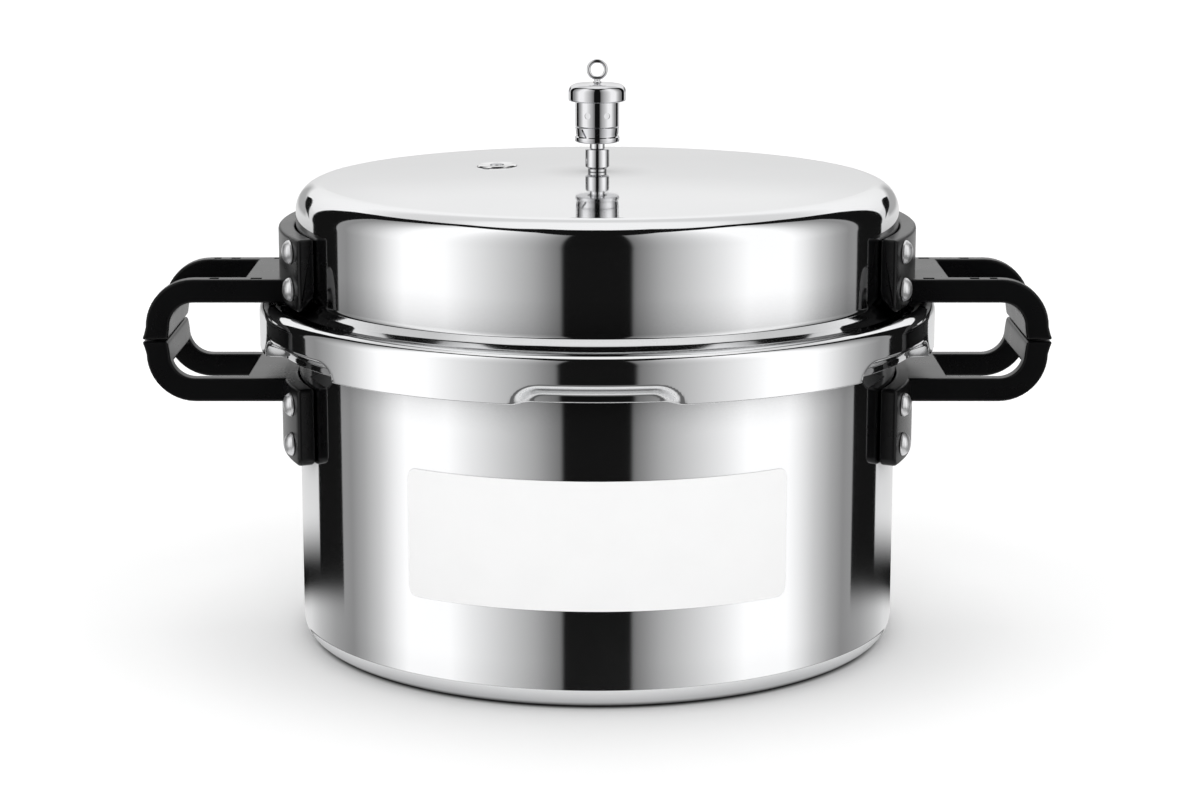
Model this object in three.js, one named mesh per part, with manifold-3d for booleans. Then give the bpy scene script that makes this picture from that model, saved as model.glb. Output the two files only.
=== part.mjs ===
import * as THREE from "three";
import { mergeVertices } from "three/addons/utils/BufferGeometryUtils.js";
import Module from "manifold-3d";

const wasm = await Module();
wasm.setup();

// Pressure cooker with an outer lid. Millimetres, Z up, base on Z = 0, handles along X.
const CLEARANCE = 0.3;
const SEGMENTS = 60;

// Pot: a deep drawn aluminium vessel with a toothed rim flange.
const POT_RADIUS = 160;
const POT_WALL = 3.6;
const POT_BASE = 5;
const POT_CORNER = 11;
const RIM_HEIGHT = 173.8;
const FLANGE_THICKNESS = 4;
const NOTCH_REACH = 6.5;
const TOOTH_REACH = 15.5;

// Lid: a stepped shell whose skirt wraps the rim and carries pressed bayonet lugs.
const LID_SHEET = 3.5;
const LID_OVERSIZE = 0.3;
const LID_DEPTH = 58;
const DOME_RISE = 4.2;
const SHOULDER_RADIUS = 14.5;
const SHELF_SLOPE = 0.307;
const SKIRT_PLAY = 1.5;
const LUG_COUNT = 6;
const LUG_FULL_ANGLE = 10.5;
const LUG_END_ANGLE = 15.5;
const LUG_PLAY = 1.5;
const LUG_RISE = 6;
const LUG_LIP = 4;

// Gasket: a rubber ring with a groove that opens towards the pressure.
const GASKET_HEIGHT = 6.4;
const GASKET_SIDE_GAP = 1.2;
const GASKET_INSET = 2.6;

// Handles: moulded phenolic pairs that meet at a parting plane.
const HANDLE_LENGTH = 79.5;
const HANDLE_WIDTH = 77.4;
const RAIL_WIDTH = 9;
const BAR_THICKNESS = 12.4;
const BAR_EDGE = 1.2;
const GRIP_HALF_HEIGHT = 20.2;
const PARTING_HALF_GAP = 0.5;
const PARTING_ABOVE_SKIRT = 5.5;
const BEND_OUTER = 24;
const BEND_INNER = 14;
const END_TAPER = 2.2;
const ROOT_WEB = 16;
const SLOT_END_WALL = 0.4;
const SADDLE_THICKNESS = 9.5;
const LID_SADDLE_HALF_ANGLE = 26;
const POT_SADDLE_HALF_ANGLE = 24.3;
const SADDLE_EDGE = 2.6;
const LID_SADDLE_HEIGHT = 38.5;
const POT_SADDLE_HEIGHT = 41;
const MARK_DEPTH = 0.8;

// Rivets: aluminium, domed outside and set flat inside.
const RIVET_RADIUS = 3;
const RIVET_HEAD_RADIUS = 6.2;
const RIVET_HEAD_HEIGHT = 4;
const RIVET_TAIL_RADIUS = 4.6;
const RIVET_TAIL_HEIGHT = 1.8;
const RIVET_TAIL_GAP = 0.5;
const LID_RIVET_ANGLE = 21.1;
const POT_RIVET_ANGLE = 19.7;
const RIVET_SEGMENTS = 8;
const LID_RIVETS_BELOW_TOP = [8, 27.5];
const POT_RIVETS_ABOVE_FOOT = [10, 31];

// Vent pipe on the axis of the lid.
const VENT_SHANK = 3.8;
const VENT_BORE = 1.6;
const VENT_COLLAR_STEP = 2.25;
const VENT_COLLAR_TOP = 12.2;
const VENT_STEM = 3.75;
const VENT_HEIGHT = 27.6;
const THREAD_RUNOUT = 1.5;
const VENT_WASHER_WIDTH = 4.9;
const VENT_NUT_FLATS = 15;
const VENT_NUT_HEIGHT = 6;
const WASHER_THICKNESS = 1.5;

// Pressure weight that rests on the vent pipe.
const WEIGHT_LIFT_OFF = 15.8;
const SLEEVE_HEIGHT = 8.1;
const SLEEVE_PLAY = 1.55;
const SPIGOT_WALL = 1.9;
const SPIGOT_HEIGHT = 3.1;
const CLIP_GROOVE_DEPTH = 1.1;
const CLIP_GROOVE_HEIGHT = 1.8;
const CLIP_WIRE = 0.6;
const CLIP_HALF_ANGLE = 155;
const WEIGHT_WALL = 4.25;
const WEIGHT_HEIGHT = 19.5;
const STEAM_HOLE = 1.1;
const STEAM_HOLE_HEIGHT = 6.3;
const NEEDLE_SHANK = 2.5;
const NEEDLE_DEPTH = 3.2;
const NEEDLE_STEP = 1.7;
const ROOF_THICKNESS = 9.7;
const CAP_WALL = 3.25;
const CAP_HEIGHT = 9.8;
const CAP_TOP_THICKNESS = 3.3;
const CAP_EDGE = 3;
const RING_SHANK = 1.5;
const RING_WIRE = 0.95;
const RING_RADIUS = 4.7;
const RING_NECK = 1.9;
const RING_SHANK_DEPTH = 4.3;

// Fusible safety valve, off the axis on the lid top.
const VALVE_X = -54.4;
const VALVE_Y = 29.3;
const VALVE_FLANGE_WIDTH = 6;
const VALVE_FLANGE_HEIGHT = 1.9;
const VALVE_DISH = 1;
const VALVE_SHANK = 5;
const VALVE_NUT_FLATS = 17;
const VALVE_NUT_HEIGHT = 5;
const VALVE_WASHER_WIDTH = 4.7;
const PLUG_RADIUS = 2.2;
const PLUG_HEAD_STEP = 1.6;
const PLUG_HEAD_HEIGHT = 2;

// Heights that follow from the sizes above.
const potInner = POT_RADIUS - POT_WALL;
const notchRadius = POT_RADIUS + NOTCH_REACH;
const toothRadius = POT_RADIUS + TOOTH_REACH;
const lidRadius = POT_RADIUS + LID_OVERSIZE;
const lidInner = lidRadius - LID_SHEET;
const skirtInner = toothRadius + SKIRT_PLAY;
const skirtRadius = skirtInner + LID_SHEET;
const rimUnderside = RIM_HEIGHT - FLANGE_THICKNESS;
const lugDepth = skirtInner - notchRadius - LUG_PLAY;
const lugPitch = LUG_RISE / lugDepth;
const lugInnerTop = rimUnderside - CLEARANCE + SKIRT_PLAY * lugPitch;
const lugThickening = (LID_SHEET * (Math.hypot(lugDepth, LUG_RISE) - LUG_RISE)) / lugDepth;
const lugOuterTop = lugInnerTop - lugThickening;
const skirtFoot = lugOuterTop - LUG_RISE - LUG_LIP;
const gasketFoot = RIM_HEIGHT + CLEARANCE;
const gasketBore = potInner + GASKET_INSET;
const gasketRadius = skirtInner - GASKET_SIDE_GAP;
const gasketMid = (gasketBore + gasketRadius) / 2;
const shelfSheet = LID_SHEET * Math.hypot(1, SHELF_SLOPE);
const shelfAtWall =
  gasketFoot + GASKET_HEIGHT + CLEARANCE + shelfSheet + SHELF_SLOPE * (gasketMid - lidRadius);
const lidTop = shelfAtWall + LID_DEPTH;
const domeRadius = lidRadius - SHOULDER_RADIUS;
const lidCrown = lidTop + DOME_RISE;
const ventHole = VENT_SHANK + CLEARANCE;
const valveHole = VALVE_SHANK + CLEARANCE;
const rivetHole = RIVET_RADIUS + CLEARANCE;
const parting = skirtFoot + PARTING_ABOVE_SKIRT;
const lidSaddleFoot = parting + GRIP_HALF_HEIGHT;
const lidSaddleTop = lidSaddleFoot + LID_SADDLE_HEIGHT;
const potSaddleTop = parting - GRIP_HALF_HEIGHT;
const potSaddleFoot = potSaddleTop - POT_SADDLE_HEIGHT;
const saddleRadius = POT_RADIUS + SADDLE_THICKNESS;
const handleReach = POT_RADIUS + HANDLE_LENGTH;
const handleFace = handleReach - END_TAPER;
const handleInnerFace = handleFace - BAR_THICKNESS;
const slotStart = saddleRadius + ROOT_WEB;
const slotEnd = handleInnerFace - SLOT_END_WALL;
const slotHalfWidth = HANDLE_WIDTH / 2 - RAIL_WIDTH;
const ventCollar = VENT_STEM + VENT_COLLAR_STEP;
const ventWasherTop = lidCrown - LID_SHEET - CLEARANCE;
const ventNutTop = ventWasherTop - WASHER_THICKNESS - CLEARANCE;
const ventTail = ventNutTop - VENT_NUT_HEIGHT - THREAD_RUNOUT;
const valveWasherTop = -LID_SHEET - CLEARANCE;
const valveNutTop = valveWasherTop - WASHER_THICKNESS - CLEARANCE;
const valveTail = valveNutTop - VALVE_NUT_HEIGHT - THREAD_RUNOUT;
const valveFlange = VALVE_SHANK + VALVE_FLANGE_WIDTH;
const plugHead = PLUG_RADIUS + PLUG_HEAD_STEP;
const stemTop = lidCrown + VENT_HEIGHT;
const sleeveFoot = lidCrown + WEIGHT_LIFT_OFF;
const sleeveTop = sleeveFoot + SLEEVE_HEIGHT;
const weightFoot = sleeveTop + CLEARANCE;
const weightTop = weightFoot + WEIGHT_HEIGHT;
const sleeveBore = VENT_STEM + SLEEVE_PLAY;
const clipGroove = sleeveBore + CLIP_GROOVE_DEPTH;
const spigotRadius = sleeveBore + SPIGOT_WALL;
const weightBore = spigotRadius + CLEARANCE;
const weightRadius = weightBore + WEIGHT_WALL;
const weightRoof = weightTop - ROOF_THICKNESS;
const capSocket = weightRadius + CLEARANCE;
const capRadius = capSocket + CAP_WALL;
const needleFlange = NEEDLE_SHANK + NEEDLE_STEP;
const capTop = weightTop + CLEARANCE + CAP_TOP_THICKNESS;
const capFoot = capTop - CAP_HEIGHT;
const ringHole = RING_SHANK + CLEARANCE;
const ringCentre = capTop + RING_NECK + RING_RADIUS + RING_WIRE / 3;

const domeHeight = (r) => lidTop + DOME_RISE * (1 - (r / domeRadius) ** 2);
const shelfHeight = (r) => shelfAtWall - SHELF_SLOPE * (r - lidRadius);
const shelfUnderside = (r) => shelfHeight(r) - shelfSheet;
const radians = THREE.MathUtils.degToRad;

// Geometry to closed solid and back.
function solid(geometry) {
  const bare = geometry.clone();
  bare.deleteAttribute("normal");
  bare.deleteAttribute("uv");
  const merged = mergeVertices(bare, 1e-4);
  return new wasm.Manifold(
    new wasm.Mesh({
      numProp: 3,
      vertProperties: new Float32Array(merged.attributes.position.array),
      triVerts: new Uint32Array(merged.index.array),
    }),
  );
}

function geometryOf(made) {
  const data = made.getMesh();
  const geometry = new THREE.BufferGeometry();
  geometry.setAttribute("position", new THREE.BufferAttribute(data.vertProperties, 3));
  geometry.setIndex(new THREE.BufferAttribute(data.triVerts, 1));
  geometry.computeVertexNormals();
  return geometry;
}

// A profile of radius and height pairs, listed with the material on its left, turned round Z.
function revolve(profile, segments = SEGMENTS) {
  const points = profile.map(([r, z]) => new THREE.Vector2(r, z));
  const onAxis = profile[0][0] === 0;
  if (!onAxis) points.push(points[0].clone());
  return new THREE.LatheGeometry(points, segments).rotateX(Math.PI / 2);
}

// Points of a circular corner from one angle to another, both ends included.
function corner(r, z, radius, from, to, steps) {
  return Array.from({ length: steps + 1 }, (_, i) => {
    const angle = radians(from + ((to - from) * i) / steps);
    return [r + radius * Math.cos(angle), z + radius * Math.sin(angle)];
  });
}

// A profile carried along an arc round Z and closed at both ends.
function sweepArc(profileAt, angles) {
  const loops = angles.map(profileAt);
  const count = loops[0].length;
  const position = [];
  const index = [];
  loops.forEach((loop, i) => {
    const angle = radians(angles[i]);
    for (const [r, z] of loop) position.push(r * Math.cos(angle), r * Math.sin(angle), z);
  });
  for (let i = 0; i + 1 < loops.length; i++) {
    for (let j = 0; j < count; j++) {
      const a = i * count + j;
      const b = i * count + ((j + 1) % count);
      index.push(a, a + count, b, b, a + count, b + count);
    }
  }
  const last = (loops.length - 1) * count;
  const faces = (loop) =>
    THREE.ShapeUtils.triangulateShape(
      loop.map(([r, z]) => new THREE.Vector2(r, z)),
      [],
    );
  for (const [a, b, c] of faces(loops[0])) index.push(a, b, c);
  for (const [a, b, c] of faces(loops[loops.length - 1])) index.push(last + a, last + c, last + b);
  const geometry = new THREE.BufferGeometry();
  geometry.setAttribute("position", new THREE.Float32BufferAttribute(position, 3));
  geometry.setIndex(index);
  return geometry;
}

// A round bar along Z between two heights.
function bar(radius, foot, top, segments) {
  return new THREE.CylinderGeometry(radius, radius, top - foot, segments)
    .rotateX(Math.PI / 2)
    .translate(0, 0, (foot + top) / 2);
}

// A block between two corners.
function block(x0, y0, z0, x1, y1, z1) {
  return new THREE.BoxGeometry(x1 - x0, y1 - y0, z1 - z0).translate(
    (x0 + x1) / 2,
    (y0 + y1) / 2,
    (z0 + z1) / 2,
  );
}

// Turns a piece that is built along Z so that it points outwards from the axis.
function pointOutwards(geometry, angle, radius, height) {
  return geometry
    .rotateY(Math.PI / 2)
    .translate(radius, 0, 0)
    .rotateZ(radians(angle))
    .translate(0, 0, height);
}

// Share of a bayonet tooth or lug at an angle from the front, one in the middle and zero between.
function bayonet(degrees) {
  const step = 360 / LUG_COUNT;
  const away = Math.abs(((((degrees + step / 2) % step) + step) % step) - step / 2);
  return THREE.MathUtils.clamp((LUG_END_ANGLE - away) / (LUG_END_ANGLE - LUG_FULL_ANGLE), 0, 1);
}

// Moves each vertex in or out along its radius.
function reshape(geometry, radiusAt) {
  const place = geometry.attributes.position;
  for (let i = 0; i < place.count; i++) {
    const x = place.getX(i);
    const y = place.getY(i);
    const r = Math.hypot(x, y);
    if (r < 1) continue;
    const degrees = THREE.MathUtils.radToDeg(Math.atan2(x, -y));
    const factor = radiusAt(r, place.getZ(i), bayonet(degrees)) / r;
    place.setXY(i, x * factor, y * factor);
  }
  return geometry;
}

// Angles round Z and heights of the four rivets of each handle.
function rivetPlaces(side, spread, heights) {
  return heights.flatMap((height) =>
    [-spread, spread].map((angle) => [side + angle, height]),
  );
}
const lidRivetHeights = LID_RIVETS_BELOW_TOP.map((drop) => lidSaddleTop - drop);
const potRivetHeights = POT_RIVETS_ABOVE_FOOT.map((rise) => potSaddleFoot + rise);

function drillRivets(made, spread, heights) {
  const places = [0, 180].flatMap((side) => rivetPlaces(side, spread, heights));
  for (const [angle, height] of places) {
    const drill = bar(rivetHole, -2 * SADDLE_THICKNESS - POT_WALL, SADDLE_THICKNESS, RIVET_SEGMENTS);
    made = made.subtract(solid(pointOutwards(drill, angle, saddleRadius, height)));
  }
  return made;
}

// Places a piece on the domed lid top, square to the dome.
const valveRadius = Math.hypot(VALVE_X, VALVE_Y);
const valveTilt = Math.atan((2 * DOME_RISE * valveRadius) / domeRadius ** 2);
const valveFrame = new THREE.Matrix4()
  .makeTranslation(VALVE_X, VALVE_Y, domeHeight(valveRadius))
  .multiply(
    new THREE.Matrix4().makeRotationAxis(
      new THREE.Vector3(-VALVE_Y, VALVE_X, 0).normalize(),
      valveTilt,
    ),
  );

function potBody() {
  const shell = revolve([
    [0, 0],
    ...corner(POT_RADIUS - POT_CORNER, POT_CORNER, POT_CORNER, -90, 0, 3),
    [POT_RADIUS, rimUnderside - 3],
    [POT_RADIUS + 0.9, rimUnderside - 0.9],
    [POT_RADIUS + 3, rimUnderside],
    [toothRadius, rimUnderside],
    [toothRadius, RIM_HEIGHT],
    [potInner + 2.5, RIM_HEIGHT],
    [potInner, RIM_HEIGHT - 2.5],
    ...corner(potInner - 8, POT_BASE + 8, 8, 0, -90, 2),
    [0, POT_BASE],
  ]);
  const toothed = reshape(shell, (r, z, tooth) =>
    r > notchRadius ? notchRadius + (r - notchRadius) * tooth : r,
  );
  return drillRivets(solid(toothed), POT_RIVET_ANGLE, potRivetHeights);
}

function lidShell() {
  const innerShoulder = SHOULDER_RADIUS - LID_SHEET;
  const shell = revolve([
    [ventHole, domeHeight(0) - LID_SHEET],
    [domeRadius * 0.55, domeHeight(domeRadius * 0.55) - LID_SHEET],
    ...corner(domeRadius, lidTop - SHOULDER_RADIUS, innerShoulder, 90, 0, 2),
    [lidInner, shelfAtWall + 2],
    [lidInner + 1.2, shelfAtWall - 1.6],
    [lidRadius + 1.5, shelfUnderside(lidRadius + 1.5)],
    [skirtInner - 2.6, shelfUnderside(skirtInner - 2.6)],
    [skirtInner, shelfUnderside(skirtInner) - 2.6],
    [skirtInner, lugInnerTop],
    [skirtInner, lugInnerTop - LUG_RISE],
    [skirtInner, skirtFoot],
    [skirtRadius, skirtFoot],
    [skirtRadius, lugOuterTop - LUG_RISE],
    [skirtRadius, lugOuterTop],
    [skirtRadius, shelfHeight(skirtRadius) - 2.2],
    [skirtRadius - 1.2, shelfHeight(skirtRadius) - 0.1],
    [skirtRadius - 4, shelfHeight(skirtRadius - 4)],
    [lidRadius + 3.4, shelfHeight(lidRadius + 3.4)],
    [lidRadius + 1, shelfAtWall + 1.1],
    [lidRadius, shelfAtWall + 3.6],
    ...corner(domeRadius, lidTop - SHOULDER_RADIUS, SHOULDER_RADIUS, 0, 90, 3),
    [domeRadius * 0.55, domeHeight(domeRadius * 0.55)],
    [ventHole, domeHeight(0)],
  ]);
  const pressed = reshape(shell, (r, z, lug) => {
    const inner = r < skirtRadius - LID_SHEET / 2;
    const depth = THREE.MathUtils.clamp((inner ? lugInnerTop : lugOuterTop) - z, 0, LUG_RISE);
    return r > skirtInner - 1 ? r - (lugDepth * lug * depth) / LUG_RISE : r;
  });
  const valveDrill = bar(valveHole, valveTail, LID_SHEET, 16).applyMatrix4(valveFrame);
  return drillRivets(solid(pressed), LID_RIVET_ANGLE, lidRivetHeights).subtract(solid(valveDrill));
}

function sealingGasket() {
  const under = (r) => shelfUnderside(r) - CLEARANCE;
  const grooveFloor = gasketMid - 1;
  return revolve(
    [
      [gasketBore, gasketFoot],
      [gasketRadius, gasketFoot],
      [gasketRadius, gasketFoot + 2.4],
      [gasketRadius - 2.4, under(gasketRadius - 2.4)],
      [lidRadius + 1.5, under(lidRadius + 1.5)],
      [gasketBore, under(lidRadius + 1.5)],
      [gasketBore, gasketFoot + 5.4],
      [grooveFloor, gasketFoot + 4.2],
      [grooveFloor, gasketFoot + 2.6],
      [gasketBore, gasketFoot + 1.6],
    ],
    42,
  );
}

// Side outline of a lid handle: a bar that runs out level and bends down to the parting plane.
function armOutline() {
  const foot = parting + GRIP_HALF_HEIGHT;
  const top = foot + BAR_THICKNESS;
  const end = parting + PARTING_HALF_GAP;
  const shape = new THREE.Shape();
  shape.moveTo(potInner, foot);
  shape.lineTo(handleInnerFace - BEND_INNER, foot);
  shape.absarc(handleInnerFace - BEND_INNER, foot - BEND_INNER, BEND_INNER, Math.PI / 2, 0, true);
  shape.lineTo(handleInnerFace + END_TAPER / 2, end);
  shape.lineTo(handleReach, end);
  shape.lineTo(handleReach - 0.3, end + 2.4);
  shape.absarc(handleFace - BEND_OUTER, top - BEND_OUTER, BEND_OUTER, 0, Math.PI / 2, false);
  shape.lineTo(potInner, top);
  return shape;
}

function armSolid() {
  const arm = new THREE.ExtrudeGeometry(armOutline(), {
    depth: HANDLE_WIDTH - 2 * BAR_EDGE,
    curveSegments: 5,
    bevelThickness: BAR_EDGE,
    bevelSize: BAR_EDGE,
    bevelOffset: -BAR_EDGE,
    bevelSegments: 1,
  });
  arm.rotateX(Math.PI / 2).translate(0, HANDLE_WIDTH / 2 - BAR_EDGE, 0);
  const slot = block(slotStart, -slotHalfWidth, 0, slotEnd, slotHalfWidth, 2 * lidCrown);
  return solid(arm).subtract(solid(slot));
}

function saddleSolid(foot, top, halfAngle) {
  const full = halfAngle - 1;
  const angles = [-halfAngle];
  for (let i = 0; i <= 6; i++) angles.push(-full + (2 * full * i) / 6);
  angles.push(halfAngle);
  const outline = (angle) => {
    const face = Math.abs(angle) > full + 0.1 ? saddleRadius - SADDLE_EDGE : saddleRadius;
    const edge = SADDLE_EDGE / 2;
    return [
      [potInner, foot],
      [face - edge, foot],
      [face, foot + edge],
      [face, top - edge],
      [face - edge, top],
      [potInner, top],
    ];
  };
  return solid(sweepArc(outline, angles));
}

function lidHandle() {
  const relief = revolve([
    [0, skirtFoot],
    [skirtRadius, skirtFoot],
    [skirtRadius, shelfHeight(skirtRadius) + CLEARANCE],
    [lidRadius + 3.4, shelfHeight(lidRadius + 3.4) + CLEARANCE + 0.2],
    [lidRadius + CLEARANCE, shelfAtWall + 4.2],
    [lidRadius + CLEARANCE, lidCrown],
    [0, lidCrown],
  ]);
  const top = parting + GRIP_HALF_HEIGHT + BAR_THICKNESS;
  const rail = HANDLE_WIDTH / 2 - RAIL_WIDTH / 2;
  const marks = [
    [slotStart - 12, 6],
    [slotStart + 12, 4],
  ].flatMap(([x, length]) =>
    [-rail, rail].map((y) =>
      block(x, y - 1.2, top - MARK_DEPTH, x + length, y + 1.2, top + 2),
    ),
  );
  const keep = block(0, -handleReach, parting, 2 * handleReach, handleReach, lidCrown);
  const whole = armSolid().add(saddleSolid(lidSaddleFoot, lidSaddleTop, LID_SADDLE_HALF_ANGLE));
  const cut = marks.reduce((made, mark) => made.subtract(solid(mark)), whole);
  return drillRivets(cut.subtract(solid(relief)).intersect(solid(keep)), LID_RIVET_ANGLE, lidRivetHeights);
}

function potHandle() {
  const wall = bar(POT_RADIUS + CLEARANCE, 0, RIM_HEIGHT, SEGMENTS);
  const arm = armSolid().mirror([0, 0, 1]).translate([0, 0, 2 * parting]);
  const whole = arm.add(saddleSolid(potSaddleFoot, potSaddleTop, POT_SADDLE_HALF_ANGLE));
  return drillRivets(whole.subtract(solid(wall)), POT_RIVET_ANGLE, potRivetHeights);
}

function rivet(innerRadius) {
  const grip = saddleRadius - innerRadius + RIVET_TAIL_GAP;
  return revolve(
    [
      [0, -grip - RIVET_TAIL_HEIGHT],
      [RIVET_TAIL_RADIUS * 0.75, -grip - RIVET_TAIL_HEIGHT],
      [RIVET_TAIL_RADIUS, -grip],
      [RIVET_RADIUS, -grip],
      [RIVET_RADIUS, CLEARANCE],
      [RIVET_HEAD_RADIUS, CLEARANCE],
      [RIVET_HEAD_RADIUS * 0.7, RIVET_HEAD_HEIGHT * 0.75],
      [0, RIVET_HEAD_HEIGHT],
    ],
    RIVET_SEGMENTS,
  );
}

function ventPipe() {
  const seat = lidCrown + CLEARANCE;
  return solid(
    revolve(
      [
        [VENT_BORE, ventTail],
        [VENT_SHANK, ventTail],
        [VENT_SHANK, seat],
        [ventCollar - 1, seat],
        [ventCollar - 1, seat + 1.3],
        [ventCollar, seat + 2.4],
        [ventCollar, lidCrown + VENT_COLLAR_TOP - 0.6],
        [ventCollar - 0.6, lidCrown + VENT_COLLAR_TOP],
        [VENT_STEM, lidCrown + VENT_COLLAR_TOP],
        [VENT_STEM, stemTop - 0.6],
        [VENT_STEM - 0.6, stemTop],
        [VENT_BORE + 0.6, stemTop],
        [VENT_BORE, stemTop - 0.8],
      ],
      16,
    ),
  );
}

function washer(bore, radius, top, segments) {
  return revolve(
    [
      [bore, top - WASHER_THICKNESS],
      [radius, top - WASHER_THICKNESS],
      [radius, top],
      [bore, top],
    ],
    segments,
  );
}

function hexNut(bore, flats, height, top) {
  const shape = new THREE.Shape();
  for (let i = 0; i < 6; i++) {
    const angle = radians(60 * i);
    const reach = flats / Math.sqrt(3);
    const method = i === 0 ? "moveTo" : "lineTo";
    shape[method](reach * Math.cos(angle), reach * Math.sin(angle));
  }
  const nut = new THREE.ExtrudeGeometry(shape, { depth: height, bevelEnabled: false });
  const drill = bar(bore, -1, height + 1, 12);
  return geometryOf(solid(nut).subtract(solid(drill))).translate(0, 0, top - height);
}

function weightSleeve() {
  const groove = sleeveFoot + SLEEVE_HEIGHT * 0.35;
  const body = revolve(
    [
      [sleeveBore, sleeveFoot],
      [weightRadius - 0.7, sleeveFoot],
      [weightRadius + 0.15, sleeveFoot + 1],
      [weightRadius + 0.15, sleeveFoot + 2.6],
      [weightRadius - 0.45, sleeveFoot + 3.7],
      [weightRadius, sleeveTop],
      [spigotRadius, sleeveTop],
      [spigotRadius, sleeveTop + SPIGOT_HEIGHT],
      [sleeveBore, sleeveTop + SPIGOT_HEIGHT],
      [sleeveBore, groove + CLIP_GROOVE_HEIGHT],
      [clipGroove, groove + CLIP_GROOVE_HEIGHT],
      [clipGroove, groove],
      [sleeveBore, groove],
    ],
    20,
  );
  const keySlot = new THREE.BoxGeometry(1, 4, SLEEVE_HEIGHT * 0.62)
    .rotateY(radians(-28))
    .translate(0, -weightRadius - 0.7, sleeveTop - SLEEVE_HEIGHT * 0.36)
    .rotateZ(radians(-38));
  return solid(body).subtract(solid(keySlot));
}

function weightClip() {
  const height = sleeveFoot + SLEEVE_HEIGHT * 0.35 + CLIP_GROOVE_HEIGHT / 2;
  const radius = clipGroove - CLIP_WIRE - 0.25;
  const section = corner(radius, height, CLIP_WIRE, 0, 300, 5);
  const angles = Array.from({ length: 17 }, (_, i) => CLIP_HALF_ANGLE * (i / 8 - 1));
  return sweepArc(() => section, angles);
}

function weightBody() {
  const needleHole = NEEDLE_SHANK + CLEARANCE;
  let made = solid(
    revolve(
      [
        [0, weightRoof + NEEDLE_DEPTH],
        [needleHole, weightRoof + NEEDLE_DEPTH],
        [needleHole, weightRoof],
        [weightBore, weightRoof],
        [weightBore, weightFoot],
        [weightRadius, weightFoot],
        [weightRadius, weightTop],
        [ringHole, weightTop],
        [ringHole, weightTop - RING_SHANK_DEPTH - 0.4],
        [0, weightTop - RING_SHANK_DEPTH - 0.4],
      ],
      20,
    ),
  );
  for (const angle of [-60, 0, 60]) {
    const drill = pointOutwards(
      bar(STEAM_HOLE, -2 * weightRadius, 2 * weightRadius, 8),
      angle,
      0,
      weightFoot + STEAM_HOLE_HEIGHT,
    );
    made = made.subtract(solid(drill));
  }
  return made;
}

function weightNeedle() {
  return revolve(
    [
      [0, stemTop - 1.7],
      [VENT_BORE - 0.7, stemTop - 1.4],
      [VENT_BORE + 0.3, stemTop + 0.7],
      [VENT_BORE + 0.6, stemTop + 3],
      [needleFlange, weightRoof - 2],
      [needleFlange, weightRoof - CLEARANCE],
      [NEEDLE_SHANK, weightRoof - CLEARANCE],
      [NEEDLE_SHANK, weightRoof + NEEDLE_DEPTH - CLEARANCE],
      [0, weightRoof + NEEDLE_DEPTH - CLEARANCE],
    ],
    16,
  );
}

function weightCap() {
  return revolve(
    [
      [capSocket, capFoot],
      [capRadius - 0.6, capFoot],
      [capRadius, capFoot + 0.7],
      ...corner(capRadius - CAP_EDGE, capTop - CAP_EDGE, CAP_EDGE, 0, 90, 3),
      [ringHole, capTop],
      [ringHole, capTop - CAP_TOP_THICKNESS],
      [capSocket, capTop - CAP_TOP_THICKNESS],
    ],
    22,
  );
}

// A wire eye in the XZ plane on a shank that turns in the cap.
function pullRing() {
  const eye = new THREE.TorusGeometry(RING_RADIUS, RING_WIRE, 6, 18)
    .rotateX(Math.PI / 2)
    .translate(0, 0, ringCentre);
  const shank = revolve(
    [
      [0, weightTop - RING_SHANK_DEPTH],
      [RING_SHANK, weightTop - RING_SHANK_DEPTH],
      [RING_SHANK, capTop + CLEARANCE],
      [2.5, capTop + CLEARANCE],
      [1.5, capTop + 1.2],
      [1.2, ringCentre - RING_RADIUS],
      [0, ringCentre - RING_RADIUS],
    ],
    10,
  );
  return solid(eye).add(solid(shank));
}

function safetyValveBody() {
  const bore = PLUG_RADIUS + CLEARANCE;
  return revolve(
    [
      [bore, valveTail],
      [VALVE_SHANK, valveTail],
      [VALVE_SHANK, CLEARANCE],
      [valveFlange, CLEARANCE],
      [valveFlange, VALVE_FLANGE_HEIGHT - 0.5],
      [valveFlange - 0.8, VALVE_FLANGE_HEIGHT],
      [VALVE_SHANK, VALVE_FLANGE_HEIGHT - VALVE_DISH],
      [bore, VALVE_FLANGE_HEIGHT - VALVE_DISH],
    ],
    20,
  );
}

function fusiblePlug() {
  const seat = VALVE_FLANGE_HEIGHT - VALVE_DISH + CLEARANCE;
  return revolve(
    [
      [0, valveTail + 1.5],
      [PLUG_RADIUS, valveTail + 1.5],
      [PLUG_RADIUS, seat],
      [plugHead, seat],
      [plugHead, seat + PLUG_HEAD_HEIGHT * 0.6],
      [plugHead * 0.75, seat + PLUG_HEAD_HEIGHT],
      [0, seat + PLUG_HEAD_HEIGHT],
    ],
    16,
  );
}

const metal = (color, roughness) => new THREE.MeshStandardMaterial({ color, roughness, metalness: 1 });
const plain = (color, roughness) => new THREE.MeshStandardMaterial({ color, roughness, metalness: 0 });
const finishes = {
  aluminium: () => metal(0xd9dadc, 0.12),
  rivet: () => metal(0xc9cacc, 0.28),
  chrome: () => metal(0xe3e4e6, 0.1),
  brass: () => metal(0xc8a25a, 0.3),
  steel: () => metal(0xb9bcc0, 0.25),
  tin: () => metal(0xa9acb0, 0.4),
  phenolic: () => plain(0x17171a, 0.42),
  rubber: () => plain(0x2b2b2d, 0.75),
};

const cooker = new THREE.Group();
cooker.name = "pressure_cooker";

function place(name, shape, finish) {
  const geometry = shape.isBufferGeometry ? shape : geometryOf(shape);
  const mesh = new THREE.Mesh(geometry, finishes[finish]());
  mesh.name = name;
  cooker.add(mesh);
}

const sides = [
  ["right", 0],
  ["left", 180],
];

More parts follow.
